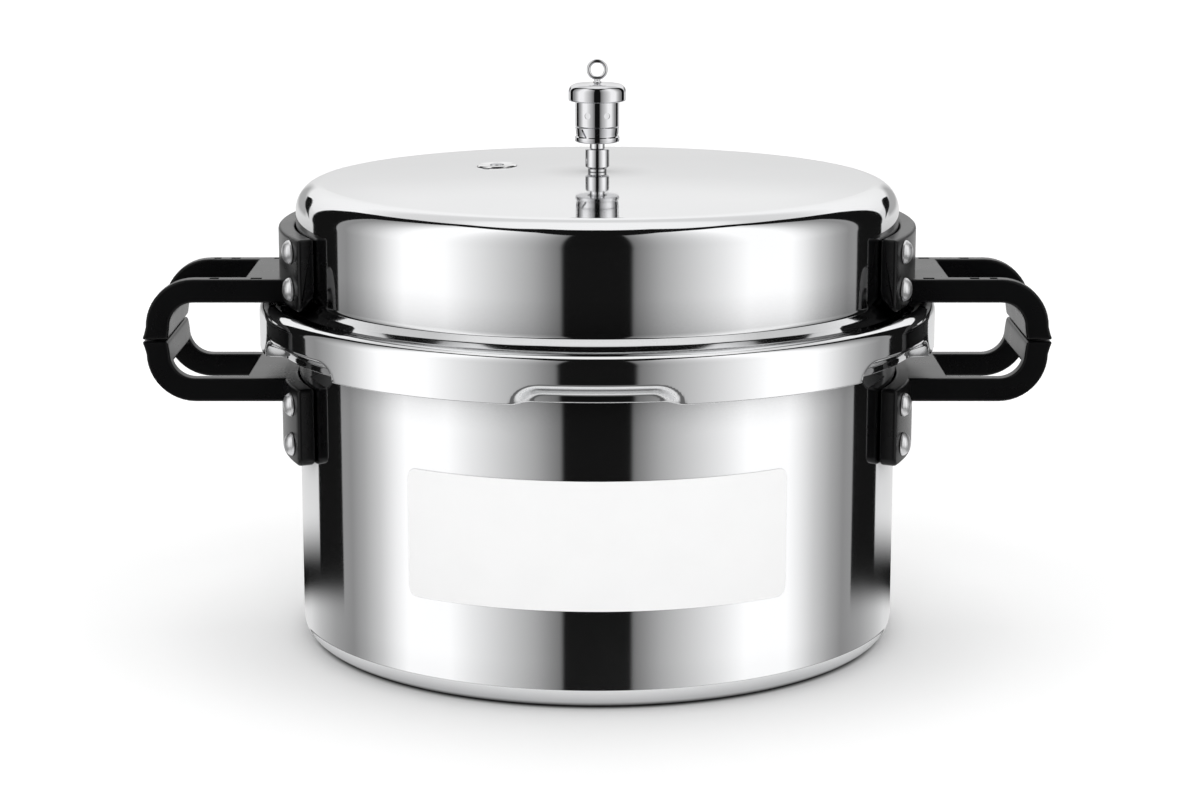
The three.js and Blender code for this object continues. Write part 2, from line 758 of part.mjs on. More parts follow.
place("pot_body", potBody(), "aluminium");
place("lid_shell", lidShell(), "aluminium");
place("sealing_gasket", sealingGasket(), "rubber");
for (const [side, angle] of sides) {
  place(`pot_handle_${side}`, potHandle().rotate([0, 0, angle]), "phenolic");
  place(`lid_handle_${side}`, lidHandle().rotate([0, 0, angle]), "phenolic");
  rivetPlaces(angle, POT_RIVET_ANGLE, potRivetHeights).forEach(([turn, height], i) => {
    const piece = pointOutwards(rivet(potInner), turn, saddleRadius, height);
    place(`pot_rivet_${side}_${i + 1}`, piece, "rivet");
  });
  rivetPlaces(angle, LID_RIVET_ANGLE, lidRivetHeights).forEach(([turn, height], i) => {
    const piece = pointOutwards(rivet(lidInner), turn, saddleRadius, height);
    place(`lid_rivet_${side}_${i + 1}`, piece, "rivet");
  });
}

place("vent_pipe", ventPipe(), "steel");
place("vent_washer", washer(ventHole, ventHole + VENT_WASHER_WIDTH, ventWasherTop, 20), "rubber");
place("vent_nut", hexNut(ventHole, VENT_NUT_FLATS, VENT_NUT_HEIGHT, ventNutTop), "steel");

const valveNut = hexNut(valveHole, VALVE_NUT_FLATS, VALVE_NUT_HEIGHT, valveNutTop);
const valveWasher = washer(valveHole, valveHole + VALVE_WASHER_WIDTH, valveWasherTop, 20);
place("safety_valve_body", safetyValveBody().applyMatrix4(valveFrame), "brass");
place("fusible_plug", fusiblePlug().applyMatrix4(valveFrame), "tin");
place("safety_valve_washer", valveWasher.applyMatrix4(valveFrame), "rubber");
place("safety_valve_nut", valveNut.applyMatrix4(valveFrame), "brass");

place("weight_sleeve", weightSleeve(), "chrome");
place("weight_clip", weightClip(), "steel");
place("weight_body", weightBody(), "chrome");
place("weight_needle", weightNeedle(), "steel");
place("weight_cap", weightCap(), "chrome");
place("pull_ring", pullRing(), "steel");

export default cooker;
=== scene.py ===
import math

import bmesh
import bpy
from mathutils import Matrix, Vector


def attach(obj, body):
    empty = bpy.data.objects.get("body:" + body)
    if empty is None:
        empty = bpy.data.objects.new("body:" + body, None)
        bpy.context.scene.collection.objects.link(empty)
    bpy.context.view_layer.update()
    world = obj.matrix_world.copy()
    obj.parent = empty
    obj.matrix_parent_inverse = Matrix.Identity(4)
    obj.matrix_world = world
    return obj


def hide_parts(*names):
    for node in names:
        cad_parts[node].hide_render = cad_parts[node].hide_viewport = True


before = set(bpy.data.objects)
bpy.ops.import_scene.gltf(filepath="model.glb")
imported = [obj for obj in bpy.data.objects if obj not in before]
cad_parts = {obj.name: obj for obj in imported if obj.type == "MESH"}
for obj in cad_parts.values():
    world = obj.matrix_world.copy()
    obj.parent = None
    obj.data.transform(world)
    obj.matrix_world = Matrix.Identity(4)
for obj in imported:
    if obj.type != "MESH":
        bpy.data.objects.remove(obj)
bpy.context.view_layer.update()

# Sizes of the cooker in millimetres and degrees, in the frame of the solids.

# Pot, with six teeth round its rim.
POT_RADIUS = 160.0
POT_INNER = 156.4
POT_CORNER = 11.0
POT_INNER_CORNER = 8.0
BASE_THICKNESS = 5.0
RIM_TOP = 173.8
RIM_UNDERSIDE = 169.8
NOTCH_RADIUS = 166.5
TOOTH_RADIUS = 175.5
TOOTH_PITCH = 60.0
TOOTH_HALF_ANGLE = 16.5
TOOTH_FLANK = 3.0
NOTCH_EDGE_SHARE = 0.02

# Blank film on the front of the pot.
LABEL_FOOT = 51.4
LABEL_TOP = 117.1
LABEL_HALF_ANGLE = 36.1
LABEL_CORNER = 5.0
FILM_THICKNESS = 0.14
FILM_MIDDLE = 0.13

# Lid: domed top, shoulder, wall, shelf, and a skirt with six pressed lugs.
LID_RADIUS = 160.3
LID_SHEET = 3.5
LID_TOP = 244.64
LID_SHOULDER = 14.5
DOME_RISE = 4.2
DOME_RADIUS = 145.8
DOME_EDGE = 140.0
DOME_EDGE_RISE = 0.33
VENT_HOLE = 4.1
SHELF_AT_WALL = 186.64
SHELF_SLOPE = 0.307
SHELF_BEAD_TOP = 183.25
SHELF_INNER_CORNER = 4.0
SKIRT_RADIUS = 180.5
SKIRT_FOOT = 158.63
LUG_TOP = 168.63
LUG_TOP_INSIDE = 170.5
LUG_DEPTH = 9.0
LUG_HALF_LENGTH = 42.0
LUG_CORNER = 11.0
LUG_WALL = 6.2
LUG_END_SHARE = 0.8
LUG_ROWS = 17
LUG_FIRST_ROW = 1.2
LUG_ROW_GAP = 0.75

# Rubber ring between the rim and the shelf.
GASKET_INNER = 159.0
GASKET_OUTER = 175.8
GASKET_FOOT = 174.1
GASKET_TOP_INNER = 161.8
GASKET_TOP_OUTER = 173.4
GASKET_LIP_RADIUS = 166.4
GASKET_CLEARANCE = 0.3

# Handles. The lid's and the pot's meet at the parting height.
PARTING = 164.13
PARTING_HALF_GAP = 0.5
BAR_START = 163.0
BAR_FOOT = 184.33
BAR_THICKNESS = 12.4
BAR_HALF_WIDTH = 38.7
BAR_EDGE = 1.4
RAIL_WIDTH = 9.0
SLOT_START = 185.5
SLOT_BEND = 67.5
BEND_X = 211.9
BEND_Z = 171.33
BEND_STEPS = 12
SADDLE_RADIUS = 169.5
SADDLE_GAP = 0.4
SADDLE_EDGE = 1.8
SADDLE_LOW_CORNER = 4.5
SADDLE_LOW_ZONE = 8.0
LID_SADDLE_HALF_ANGLE = 26.0
LID_SADDLE_TOP = 222.83
LID_SADDLE_INNER_FOOT = 191.4
POT_SADDLE_HALF_ANGLE = 24.3
POT_SADDLE_FOOT = 102.93
POT_SADDLE_TOP = 143.93
MARK_WIDTH = 4.0
MARK_HEIGHT = 5.0

# Rivets: half the angle between two beside each other, and their heights, by body.
RIVET_RADIUS = 6.2
RIVET_SHANK = 3.0
RIVET_LENGTH = 14.0
RIVET_PLACES = (
    ("pot", 19.7, (112.93, 133.93)),
    ("lid", 21.1, (214.83, 195.33)),
)

# Vent pipe, pressure weight and its pull ring, on the axis of the lid.
CROWN = LID_TOP + DOME_RISE
VENT_FOOT = 235.74
VENT_BORE = 1.6
VENT_SHANK = 3.8
COLLAR_RADIUS = 6.4
COLLAR_TOP = 261.04
STEM_RADIUS = 4.05
STEM_TOP = 276.44
SLEEVE_BORE = 5.3
SLEEVE_SPIGOT = 7.2
SLEEVE_FOOT = 264.64
SLEEVE_TOP = 272.74
SPIGOT_TOP = SLEEVE_TOP + 3.1
SLOT_SIZE = (1.1, 8.0, 5.0)
SLOT_DROP = 2.9
SLOT_TURN = -38
SLOT_SLANT = -28
WEIGHT_RADIUS = 11.75
WEIGHT_TOP = 292.54
NEEDLE_HOLE = 2.8
NEEDLE_SEAT = 286.0
WEIGHT_BORE = 7.5
WEIGHT_BORE_TOP = 282.84
RING_HOLE = 1.8
RING_HOLE_FOOT = 287.9
PUNCH_RADIUS = 1.7
PUNCH_DEPTH = 2.0
PUNCH_HEIGHT = 279.34
PUNCH_ANGLES = (-26, 26, 154, 206)
TOOL_PLACE = 12.4
CAP_RADIUS = 15.3
CAP_INNER = 12.05
CAP_FOOT = 286.34
CAP_TOP = 296.14
CAP_SHEET = 3.3
RING_CENTRE = 302.95
RING_RADIUS = 4.55
RING_WIRE = 1.08

# Safety valve: its place on the lid and the depth of its stem and plug.
VALVE = (-54.4, 29.3)
VALVE_STEM = 12.0
VALVE_BORE = 2.5
PLUG_STEM = 10.5


# Modelling helpers: each piece starts as one vertex or primitive and is drawn in edit mode.

def select_only(piece):
    """Selects one object and makes it the active one."""
    bpy.ops.object.select_all(action="DESELECT")
    piece.select_set(True)
    bpy.context.view_layer.objects.active = piece


def start(name):
    """A new object in edit mode that holds one selected vertex at the origin."""
    bpy.ops.object.select_all(action="DESELECT")
    bpy.ops.mesh.primitive_plane_add(size=0.001)
    piece = bpy.context.object
    piece.name = name
    bpy.ops.object.mode_set(mode="EDIT")
    bpy.ops.mesh.select_mode(type="VERT")
    bpy.ops.mesh.select_all(action="SELECT")
    bpy.ops.mesh.merge(type="CENTER")
    return piece


def draw(points):
    """Draws the selected vertex out along points, given in millimetres."""
    spots = [Vector(p) / 1000 for p in points]
    bpy.ops.transform.translate(value=spots[0])
    for here, there in zip(spots, spots[1:]):
        bpy.ops.mesh.extrude_vertices_move(TRANSFORM_OT_translate={"value": there - here})


def spin_all(steps, angle):
    """Spins all that is drawn round the cooker's axis, through an angle in radians."""
    bpy.ops.mesh.select_all(action="SELECT")
    bpy.ops.mesh.spin(steps=steps, angle=angle, center=(0, 0, 0), axis=(0, 0, 1))


def close_mesh():
    """Merges what lies together, turns the faces outwards and leaves edit mode."""
    bpy.ops.mesh.select_all(action="SELECT")
    bpy.ops.mesh.remove_doubles(threshold=0.000002)
    bpy.ops.mesh.normals_make_consistent(inside=False)
    bpy.ops.object.mode_set(mode="OBJECT")


def modify(piece, kind, **settings):
    """Adds a modifier, sets it and applies it."""
    select_only(piece)
    modifier = piece.modifiers.new(kind.lower(), kind)
    for key, value in settings.items():
        setattr(modifier, key, value)
    bpy.ops.object.modifier_apply(modifier=modifier.name)


def smooth(piece, angle=40):
    """Smooth shading that keeps flat faces flat beside their rounded edges."""
    select_only(piece)
    bpy.ops.object.shade_smooth_by_angle(angle=math.radians(angle))
    modify(piece, "WEIGHTED_NORMAL", keep_sharp=True, weight=60)


def rounded(corners, coarse=9):
    """A profile of (radius, height, corner radius): each corner an arc, in steps of coarse degrees."""
    made = []
    for i, (r, z, bend) in enumerate(corners):
        here = Vector((r, z))
        if bend == 0:
            made.append(here)
            continue
        back = (Vector(corners[i - 1][:2]) - here).normalized()
        ahead = (Vector(corners[(i + 1) % len(corners)][:2]) - here).normalized()
        half = back.angle(ahead) / 2
        centre = here + (back + ahead).normalized() * bend / math.sin(half)
        first = here + back * bend / math.tan(half) - centre
        last = here + ahead * bend / math.tan(half) - centre
        turn = math.pi - 2 * half
        steps = max(2, math.ceil(math.degrees(turn) / coarse))
        for k in range(steps + 1):
            a, b = turn * (1 - k / steps), turn * k / steps
            made.append(centre + (first * math.sin(a) + last * math.sin(b)) / math.sin(turn))
    return made


def turned(name, profile, steps):
    """A lathe piece: the profile drawn on +X and spun round the cooker's axis."""
    piece = start(name)
    draw([(p[0], 0, p[1]) for p in profile])
    spin_all(steps=steps, angle=math.tau)
    close_mesh()
    return piece


def cut(piece, tool):
    """Takes the tool's shape out of the piece."""
    modify(piece, "BOOLEAN", object=tool, operation="DIFFERENCE", solver="EXACT")
    bpy.data.objects.remove(tool)
    bpy.ops.object.mode_set(mode="EDIT")
    bpy.ops.mesh.select_all(action="SELECT")
    bpy.ops.mesh.dissolve_degenerate(threshold=0.000002)
    close_mesh()


def join(first, second):
    """Puts the second object's mesh into the first."""
    select_only(first)
    second.select_set(True)
    bpy.ops.object.join()
    return first


def copy_piece(piece, name, matrix):
    """A copy with its own mesh, placed by a matrix."""
    made = piece.copy()
    made.data = piece.data.copy()
    made.name = name
    made.data.transform(matrix)
    bpy.context.scene.collection.objects.link(made)
    return made


def dress(piece, body, slot, material, *nodes):
    """Puts a finished piece on its body, in place of its solids."""
    piece.data.materials.clear()
    piece.data.materials.append(material)
    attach(piece, body)
    if nodes:
        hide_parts(*nodes)


def ease(share):
    """A share held between zero and one, with a soft start and a soft end."""
    share = min(max(share, 0), 1)
    return share * share * (3 - 2 * share)


def draw_in(vertex, factor):
    """Moves a vertex towards the cooker's axis."""
    vertex.co.x *= factor
    vertex.co.y *= factor


# Materials.

def colour(code):
    """An sRGB hex value as linear RGBA."""
    channels = [int(code[i:i + 2], 16) / 255 for i in (1, 3, 5)]
    linear = [c / 12.92 if c <= 0.04045 else ((c + 0.055) / 1.055) ** 2.4 for c in channels]
    return (*linear, 1)


def add(tree, kind, links=(), stops=(), **settings):
    """Adds one node: its settings, the grey stops of its ramp, then values or sockets for its inputs."""
    made = tree.nodes.new(kind)
    for key, value in settings.items():
        setattr(made, key, value)
    if stops:
        elements = made.color_ramp.elements
        while len(elements) < len(stops):
            elements.new(0.5)
        for element, (place, value) in zip(elements, stops):
            element.position = place
            element.color = (value, value, value, 1)
    for name, value in dict(links).items():
        if isinstance(value, bpy.types.NodeSocket):
            tree.links.new(value, made.inputs[name])
        else:
            made.inputs[name].default_value = value
    return made


# A Mix node has sockets of one name for each of its types, so its colour sockets go by number.
FACTOR = 0
FIRST = 6
SECOND = 7
MIXED = 2

# Sizes of the patterns in millimetres. A pixel of the render is about half a millimetre, so buffing rings,
# tool marks and moulded skins are drawn coarser than real ones, at about that size.
MIRROR_CLOUD = 71.43
METAL_CLOUD = 5.556
FLOW_CLOUD = 22.22
BUFF_RING = 0.8
POLISH_DEPTH = 0.02
# Reach of the painted shade in the aluminium's corners, and the height below which it fades out at the pot's
# foot.
PAINTED_SHADE_REACH = 26
UNSHADED_FOOT = 60
# Share of a relief's depth that shows.
RELIEF = 0.015


def per_metre(millimetres):
    """The scale of a noise whose grains are that far apart."""
    return 1000 / millimetres


def surfaced(name, light, dark, cloud_size, cloud_detail, least, most):
    """A material whose clouds vary its colour and its roughness, between least and most."""
    made = bpy.data.materials.new(name)
    made.use_nodes = True
    tree = made.node_tree
    shader = tree.nodes["Principled BSDF"]
    place = add(tree, "ShaderNodeTexCoord").outputs["Object"]
    cloud = add(tree, "ShaderNodeTexNoise", {
        "Vector": place, "Scale": per_metre(cloud_size), "Detail": cloud_detail,
    }).outputs["Fac"]
    tint = add(tree, "ShaderNodeMix", {
        FACTOR: cloud, FIRST: colour(dark), SECOND: colour(light),
    }, data_type="RGBA").outputs[MIXED]
    rough = add(tree, "ShaderNodeMapRange", {"Value": cloud, "To Min": least, "To Max": most})
    tree.links.new(tint, shader.inputs["Base Color"])
    tree.links.new(rough.outputs["Result"], shader.inputs["Roughness"])
    return made, tree, shader, place


def mirror_aluminium():
    """Aluminium sheet, drawn and then buffed to a mirror on a lathe, with painted shade in its corners."""
    made, tree, shader, place = surfaced(
        "aluminium_mirror_buffed", "#f4f4f5", "#ecedee", MIRROR_CLOUD, 4, 0.035, 0.075,
    )
    shader.inputs["Metallic"].default_value = 1
    # Buffing leaves rings, so the pattern runs on radius and height only.
    split = add(tree, "ShaderNodeSeparateXYZ", {"Vector": place})
    flat = add(tree, "ShaderNodeCombineXYZ", {"X": split.outputs["X"], "Y": split.outputs["Y"]})
    radius = add(tree, "ShaderNodeVectorMath", {0: flat.outputs[0]}, operation="LENGTH")
    ring = add(tree, "ShaderNodeCombineXYZ", {"X": radius.outputs["Value"], "Y": split.outputs["Z"]})
    polish = add(tree, "ShaderNodeTexNoise", {
        "Vector": ring.outputs[0], "Scale": per_metre(BUFF_RING), "Detail": 3,
    })
    bump = add(tree, "ShaderNodeBump", {
        "Height": polish.outputs["Fac"], "Strength": RELIEF, "Distance": POLISH_DEPTH / 1000,
    })
    tree.links.new(bump.outputs["Normal"], shader.inputs["Normal"])
    # Painted shade: ambient occlusion darkens the metal's colour in corners, such as under the skirt and in
    # the corners above it. The darkening fades out towards the floor, so the foot of the pot is left clear of
    # it.
    painted_shade = add(tree, "ShaderNodeAmbientOcclusion", {"Distance": PAINTED_SHADE_REACH / 1000}, samples=8)
    shade_share = add(tree, "ShaderNodeMapRange", {
        "Value": split.outputs["Z"], "From Min": 0.0, "From Max": UNSHADED_FOOT / 1000,
    })
    tint = shader.inputs["Base Color"].links[0].from_socket
    shaded_tint = add(tree, "ShaderNodeMix", {
        FACTOR: shade_share.outputs["Result"], FIRST: tint, SECOND: painted_shade.outputs["Color"],
    }, data_type="RGBA", blend_type="MULTIPLY")
    tree.links.new(shaded_tint.outputs[MIXED], shader.inputs["Base Color"])
    return made


def metal(name, light, dark, least, most, grain):
    """A turned or formed metal. Its tool marks have a grain in millimetres."""
    made, tree, shader, place = surfaced(name, light, dark, METAL_CLOUD, 3, least, most)
    shader.inputs["Metallic"].default_value = 1
    marks = add(tree, "ShaderNodeTexNoise", {"Vector": place, "Scale": per_metre(grain), "Detail": 2})
    bump = add(tree, "ShaderNodeBump", {
        "Height": marks.outputs["Fac"], "Strength": RELIEF, "Distance": POLISH_DEPTH / 1000,
    })
    tree.links.new(bump.outputs["Normal"], shader.inputs["Normal"])
    return made


def moulded(name, light, dark, least, most, grain, depth, gloss):
    """A moulded or cast plastic with faint flow clouds. Its skin has a grain and a depth in millimetres."""
    made, tree, shader, place = surfaced(name, light, dark, FLOW_CLOUD, 5, least, most)
    shader.inputs["Specular IOR Level"].default_value = gloss
    skin = add(tree, "ShaderNodeTexNoise", {"Vector": place, "Scale": per_metre(grain), "Detail": 3})
    bump = add(tree, "ShaderNodeBump", {
        "Height": skin.outputs["Fac"], "Strength": RELIEF, "Distance": depth / 1000,
    })
    tree.links.new(bump.outputs["Normal"], shader.inputs["Normal"])
    return made


# The walls mirror the studio almost sharply. Faint rings and dull clouds tell that the metal is soft.
aluminium = mirror_aluminium()
# Aluminium heads, formed in a press and not polished, have a soft white shine without a clear image.
rivet_metal = metal("aluminium_rivet_formed", "#f4f4f5", "#ebebec", 0.34, 0.42, 0.5)
# Chrome on turned brass is the sharpest mirror here, and a little darker than the aluminium.
chrome = metal("chrome_on_turned_brass", "#e4e4e6", "#dcdcde", 0.02, 0.05, 0.4)
# Stainless steel from the lathe mirrors clearly too, with a trace of tool marks.
steel = metal("stainless_steel_turned", "#f0f0f1", "#e4e4e6", 0.03, 0.07, 0.4)
# Nickel on turned brass is a touch brighter and smoother than the steel.
nickel = metal("nickel_on_turned_brass", "#f2f2f2", "#e8e8e8", 0.03, 0.06, 0.4)
# Tin alloy, as cast, is a duller grey that blurs what it mirrors.
tin = metal("tin_alloy_cast", "#cfd0d2", "#c0c1c3", 0.12, 0.2, 0.6)
# Phenolic from a polished mould is deep black, with a soft sheen where it is seen at a slant.
phenolic = moulded("phenolic_black_moulded", "#09090a", "#060607", 0.24, 0.32, 0.5, 0.01, 0.25)
# Moulded rubber is a matt dark grey.
rubber = moulded("rubber_black_moulded", "#303032", "#232325", 0.62, 0.78, 0.4, 0.05, 0.5)
# Cast film with a satin face is an even white with a faint sheen.
film = moulded("film_white_satin", "#fbfbfb", "#f6f6f6", 0.3, 0.38, 0.4, 0.01, 0.3)


# Pot.

def off_middle(vertex):
    """Degrees round the cooker from a vertex to the middle of the nearest tooth and the lug under it."""
    angle = math.degrees(math.atan2(vertex.co.x, -vertex.co.y))
    return abs((angle + TOOTH_PITCH / 2) % TOOTH_PITCH - TOOTH_PITCH / 2)


def make_pot():
    pot = turned("pot_shell_drawn", rounded([
        (0, 0, 0), (POT_RADIUS, 0, POT_CORNER), (POT_RADIUS, RIM_UNDERSIDE, 3),
        (NOTCH_RADIUS, RIM_UNDERSIDE, 0), (TOOTH_RADIUS, RIM_UNDERSIDE, 0.8),
        (TOOTH_RADIUS, RIM_TOP, 1.2), (NOTCH_RADIUS, RIM_TOP, 0),
        (POT_INNER, RIM_TOP, 2.4), (POT_INNER, BASE_THICKNESS, POT_INNER_CORNER), (0, BASE_THICKNESS, 0),
    ]), steps=240)
    # Notches let the lugs of the lid pass: the flange is drawn back to its root between the teeth.
    for vertex in pot.data.vertices:
        r = vertex.co.xy.length * 1000
        if r > NOTCH_RADIUS:
            share = ease((TOOTH_HALF_ANGLE - off_middle(vertex)) / TOOTH_FLANK)
            kept = (r - NOTCH_RADIUS) * max(share, NOTCH_EDGE_SHARE)
            draw_in(vertex, (NOTCH_RADIUS + kept) / r)
    smooth(pot)
    dress(pot, "pot", "polished_aluminium", aluminium, "pot_body")


def make_label():
    """A blank film stuck round the front of the pot, with rounded corners."""
    middle = POT_RADIUS + FILM_MIDDLE
    first = math.radians(LABEL_HALF_ANGLE)
    label = start("label_film_blank")
    draw([(middle * math.sin(first), -middle * math.cos(first), z) for z in (LABEL_FOOT, LABEL_TOP)])
    spin_all(steps=180, angle=2 * first)
    close_mesh()
    for vertex in label.data.vertices:
        inset = middle * (first - abs(math.atan2(vertex.co.x, -vertex.co.y)))
        if inset < LABEL_CORNER:
            drop = LABEL_CORNER - math.sqrt(max(LABEL_CORNER ** 2 - (LABEL_CORNER - inset) ** 2, 0))
            vertex.co.z += math.copysign(drop / 1000, (LABEL_FOOT + LABEL_TOP) / 2000 - vertex.co.z)
    modify(label, "SOLIDIFY", thickness=FILM_THICKNESS / 1000, offset=0)
    smooth(label)
    dress(label, "pot", "white_label", film)


# Lid.

def dome(r):
    """Height of the lid's domed top at a radius."""
    return LID_TOP + DOME_RISE * (1 - (r / DOME_RADIUS) ** 2)


def under_shelf(r):
    """Height of the underside of the sloping shelf at a radius."""
    sheet = LID_SHEET * math.hypot(1, SHELF_SLOPE)
    return SHELF_AT_WALL - SHELF_SLOPE * (r - LID_RADIUS) - sheet


def lug_press(away, below_top):
    """How far a lug is pressed in, away degrees from its middle: rounded upper corners and soft walls."""
    side = LUG_END_SHARE * (LUG_HALF_LENGTH - math.radians(away) * SKIRT_RADIUS)
    if side < LUG_CORNER and below_top < LUG_CORNER:
        inside = LUG_CORNER - math.hypot(LUG_CORNER - side, LUG_CORNER - below_top)
    else:
        inside = min(side, below_top)
    return LUG_DEPTH * ease(inside / LUG_WALL)


def make_lid():
    inner = LID_RADIUS - LID_SHEET
    skirt_inner = SKIRT_RADIUS - LID_SHEET
    rings = (VENT_HOLE, 8, *range(25, 126, 20), DOME_EDGE)
    rows = [SKIRT_FOOT + LUG_FIRST_ROW + LUG_ROW_GAP * k for k in range(LUG_ROWS)]
    corner_foot = under_shelf(inner + SHELF_INNER_CORNER)
    # Outside, from the vent hole over the shoulder, wall and shelf down to the foot of the skirt. The shelf
    # dips to a groove and rises again to a bead.
    profile = [Vector((r, dome(r))) for r in rings]
    profile += rounded([
        (DOME_EDGE, LID_TOP + DOME_EDGE_RISE, 0), (LID_RADIUS, LID_TOP, LID_SHOULDER), (LID_RADIUS, 188.4, 3),
        (164.6, 184.9, 9), (168.3, 182.9, 2), (171, 182.4, 4), (173.6, SHELF_BEAD_TOP, 2.5),
        (SKIRT_RADIUS, SHELF_BEAD_TOP, 5.6), (SKIRT_RADIUS, rows[-1], 0),
    ])[1:-1]
    profile += [Vector((SKIRT_RADIUS, z)) for z in reversed(rows)]
    profile += rounded([
        (SKIRT_RADIUS, rows[0], 0), (SKIRT_RADIUS, SKIRT_FOOT, 0.5),
        (skirt_inner, SKIRT_FOOT, 0.5), (skirt_inner, rows[0], 0),
    ], 30)[1:-1]
    # Inside, back up to the vent hole.
    profile += [Vector((skirt_inner, z)) for z in rows[::2]]
    profile += rounded([
        (skirt_inner, rows[-1], 0), (skirt_inner, under_shelf(skirt_inner), 1.6),
        (inner + SHELF_INNER_CORNER, corner_foot, 5), (inner, corner_foot + SHELF_INNER_CORNER, 2),
        (inner, LID_TOP - LID_SHEET, 11), (130, LID_TOP - LID_SHEET + 0.8, 0),
    ], 18)[1:]
    profile += [Vector((r, dome(r) - LID_SHEET)) for r in reversed(rings[:-2])]
    profile.append(profile[0])
    lid = turned("lid_shell_drawn", profile, steps=720)
    # The lugs are pressed into the skirt alone.
    for vertex in lid.data.vertices:
        r, z = vertex.co.xy.length * 1000, vertex.co.z * 1000
        if r > skirt_inner - 1.2 and z < rows[-1] + 0.1:
            top = LUG_TOP_INSIDE if r < SKIRT_RADIUS - LID_SHEET / 2 else LUG_TOP
            draw_in(vertex, 1 - lug_press(off_middle(vertex), top - z) / r)
    smooth(lid)
    dress(lid, "lid", "polished_aluminium", aluminium, "lid_shell")


def make_gasket():
    """A ring with a groove on its inner side, whose lips the steam presses on the rim and the shelf."""
    outer_top = under_shelf(GASKET_TOP_OUTER) - GASKET_CLEARANCE
    inner_top = under_shelf(GASKET_TOP_INNER) - GASKET_CLEARANCE
    profile = rounded([
        (GASKET_INNER, GASKET_FOOT, 0.5), (GASKET_OUTER, GASKET_FOOT, 1),
        (GASKET_OUTER, GASKET_FOOT + 2.4, 1), (GASKET_TOP_OUTER, outer_top, 1),
        (GASKET_TOP_INNER, inner_top, 1), (GASKET_INNER, inner_top, 0.6),
        (GASKET_INNER, 179.5, 0.4), (GASKET_LIP_RADIUS, 178.3, 0.5), (GASKET_LIP_RADIUS, 176.7, 0.5),
        (GASKET_INNER, 175.7, 0.4),
    ])
    gasket = turned("gasket_ring_moulded", profile + profile[:1], steps=180)
    smooth(gasket)
    dress(gasket, "lid", "black_rubber", rubber, "sealing_gasket")


# Handles.

def pick_faces(piece, wanted):
    """Selects the faces whose centre, in millimetres, and normal are wanted."""
    bpy.ops.mesh.select_mode(type="FACE")
    bpy.ops.mesh.select_all(action="DESELECT")
    mesh = bmesh.from_edit_mesh(piece.data)
    mesh.normal_update()
    for face in mesh.faces:
        if wanted(face.calc_center_median() * 1000, face.normal):
            face.select_set(True)
    bmesh.update_edit_mesh(piece.data)


def move_out(x, y, z):
    """Extrudes what is selected, by millimetres."""
    bpy.ops.mesh.extrude_region_move(TRANSFORM_OT_translate={"value": (x / 1000, y / 1000, z / 1000)})


def handle_bar(name):
    """The open frame of a lid handle: root web, two rails that bend down, and an end plate."""
    slot_side = BAR_HALF_WIDTH - RAIL_WIDTH

    def rail_end(centre, normal):
        return abs(centre.x - SLOT_START) < 0.1 and abs(centre.y) > slot_side

    def inner_side_past_slot(centre, normal):
        bend = math.degrees(math.atan2(centre.x - BEND_X, centre.z - BEND_Z))
        on_side = abs(abs(centre.y) - slot_side) < 0.05 and abs(normal.y) > 0.9
        return on_side and bend > SLOT_BEND and centre.x > BEND_X

    bar = start(name)
    draw([(BAR_START, -BAR_HALF_WIDTH, z) for z in (BAR_FOOT, BAR_FOOT + BAR_THICKNESS)])
    bpy.ops.mesh.select_all(action="SELECT")
    for width in (RAIL_WIDTH, 2 * slot_side, RAIL_WIDTH):
        bpy.ops.mesh.extrude_edges_move(TRANSFORM_OT_translate={"value": (0, width / 1000, 0)})
    bpy.ops.mesh.select_all(action="SELECT")
    move_out(SLOT_START - BAR_START, 0, 0)
    pick_faces(bar, rail_end)
    move_out(BEND_X - SLOT_START, 0, 0)
    bend_centre = (BEND_X / 1000, 0, BEND_Z / 1000)
    for _ in range(BEND_STEPS):
        move_out(0, 0, 0)
        bpy.ops.transform.rotate(
            value=-math.pi / 2 / BEND_STEPS, orient_axis="Y", center_override=bend_centre,
        )
    # The tip flares in two stages: a share of the drop, a shift outwards and a widening for each.
    end_drop = BEND_Z - PARTING - PARTING_HALF_GAP
    middle = BEND_X + BAR_FOOT - BEND_Z + BAR_THICKNESS / 2
    for share, shift, widen in ((0.6, 0.8, 1.045), (0.4, 0.85, 1.042)):
        move_out(shift, 0, -share * end_drop)
        middle += shift
        bpy.ops.transform.resize(value=(widen, 1, 1), center_override=(middle / 1000, 0, 0))
    pick_faces(bar, inner_side_past_slot)
    bpy.ops.mesh.bridge_edge_loops()
    close_mesh()
    return bar


def saddle(name, half_angle, outline):
    """The curved foot of a handle, swept round the wall it is riveted to."""
    piece = start(name)
    first = math.radians(half_angle)
    low_limit = (min(z for r, z in outline) + SADDLE_LOW_ZONE) / 1000
    draw([(r * math.cos(first), r * math.sin(first), z) for r, z in outline])
    bpy.ops.mesh.select_all(action="SELECT")
    bpy.ops.mesh.edge_face_add()
    spin_all(steps=28, angle=2 * first)
    close_mesh()
    # The lower corners at both ends are rounded off.
    bpy.ops.object.mode_set(mode="EDIT")
    bpy.ops.mesh.select_mode(type="EDGE")
    bpy.ops.mesh.select_all(action="DESELECT")
    mesh = bmesh.from_edit_mesh(piece.data)
    for edge in mesh.edges:
        spots = [v.co for v in edge.verts]
        at_end = all(abs(abs(math.atan2(p.y, p.x)) - first) < 0.001 for p in spots)
        low = all(p.z < low_limit for p in spots)
        across = abs(spots[0].xy.length - spots[1].xy.length) > 0.001
        edge.select_set(at_end and low and across)
    bmesh.update_edit_mesh(piece.data)
    bpy.ops.mesh.bevel(offset=SADDLE_LOW_CORNER / 1000, segments=6)
    close_mesh()
    return piece


def edge_round(piece, width):
    """Rounds the sharp edges of a piece, by a width in millimetres."""
    modify(
        piece, "BEVEL", width=width / 1000, segments=3, limit_method="ANGLE",
        angle_limit=math.radians(50), use_clamp_overlap=False,
    )


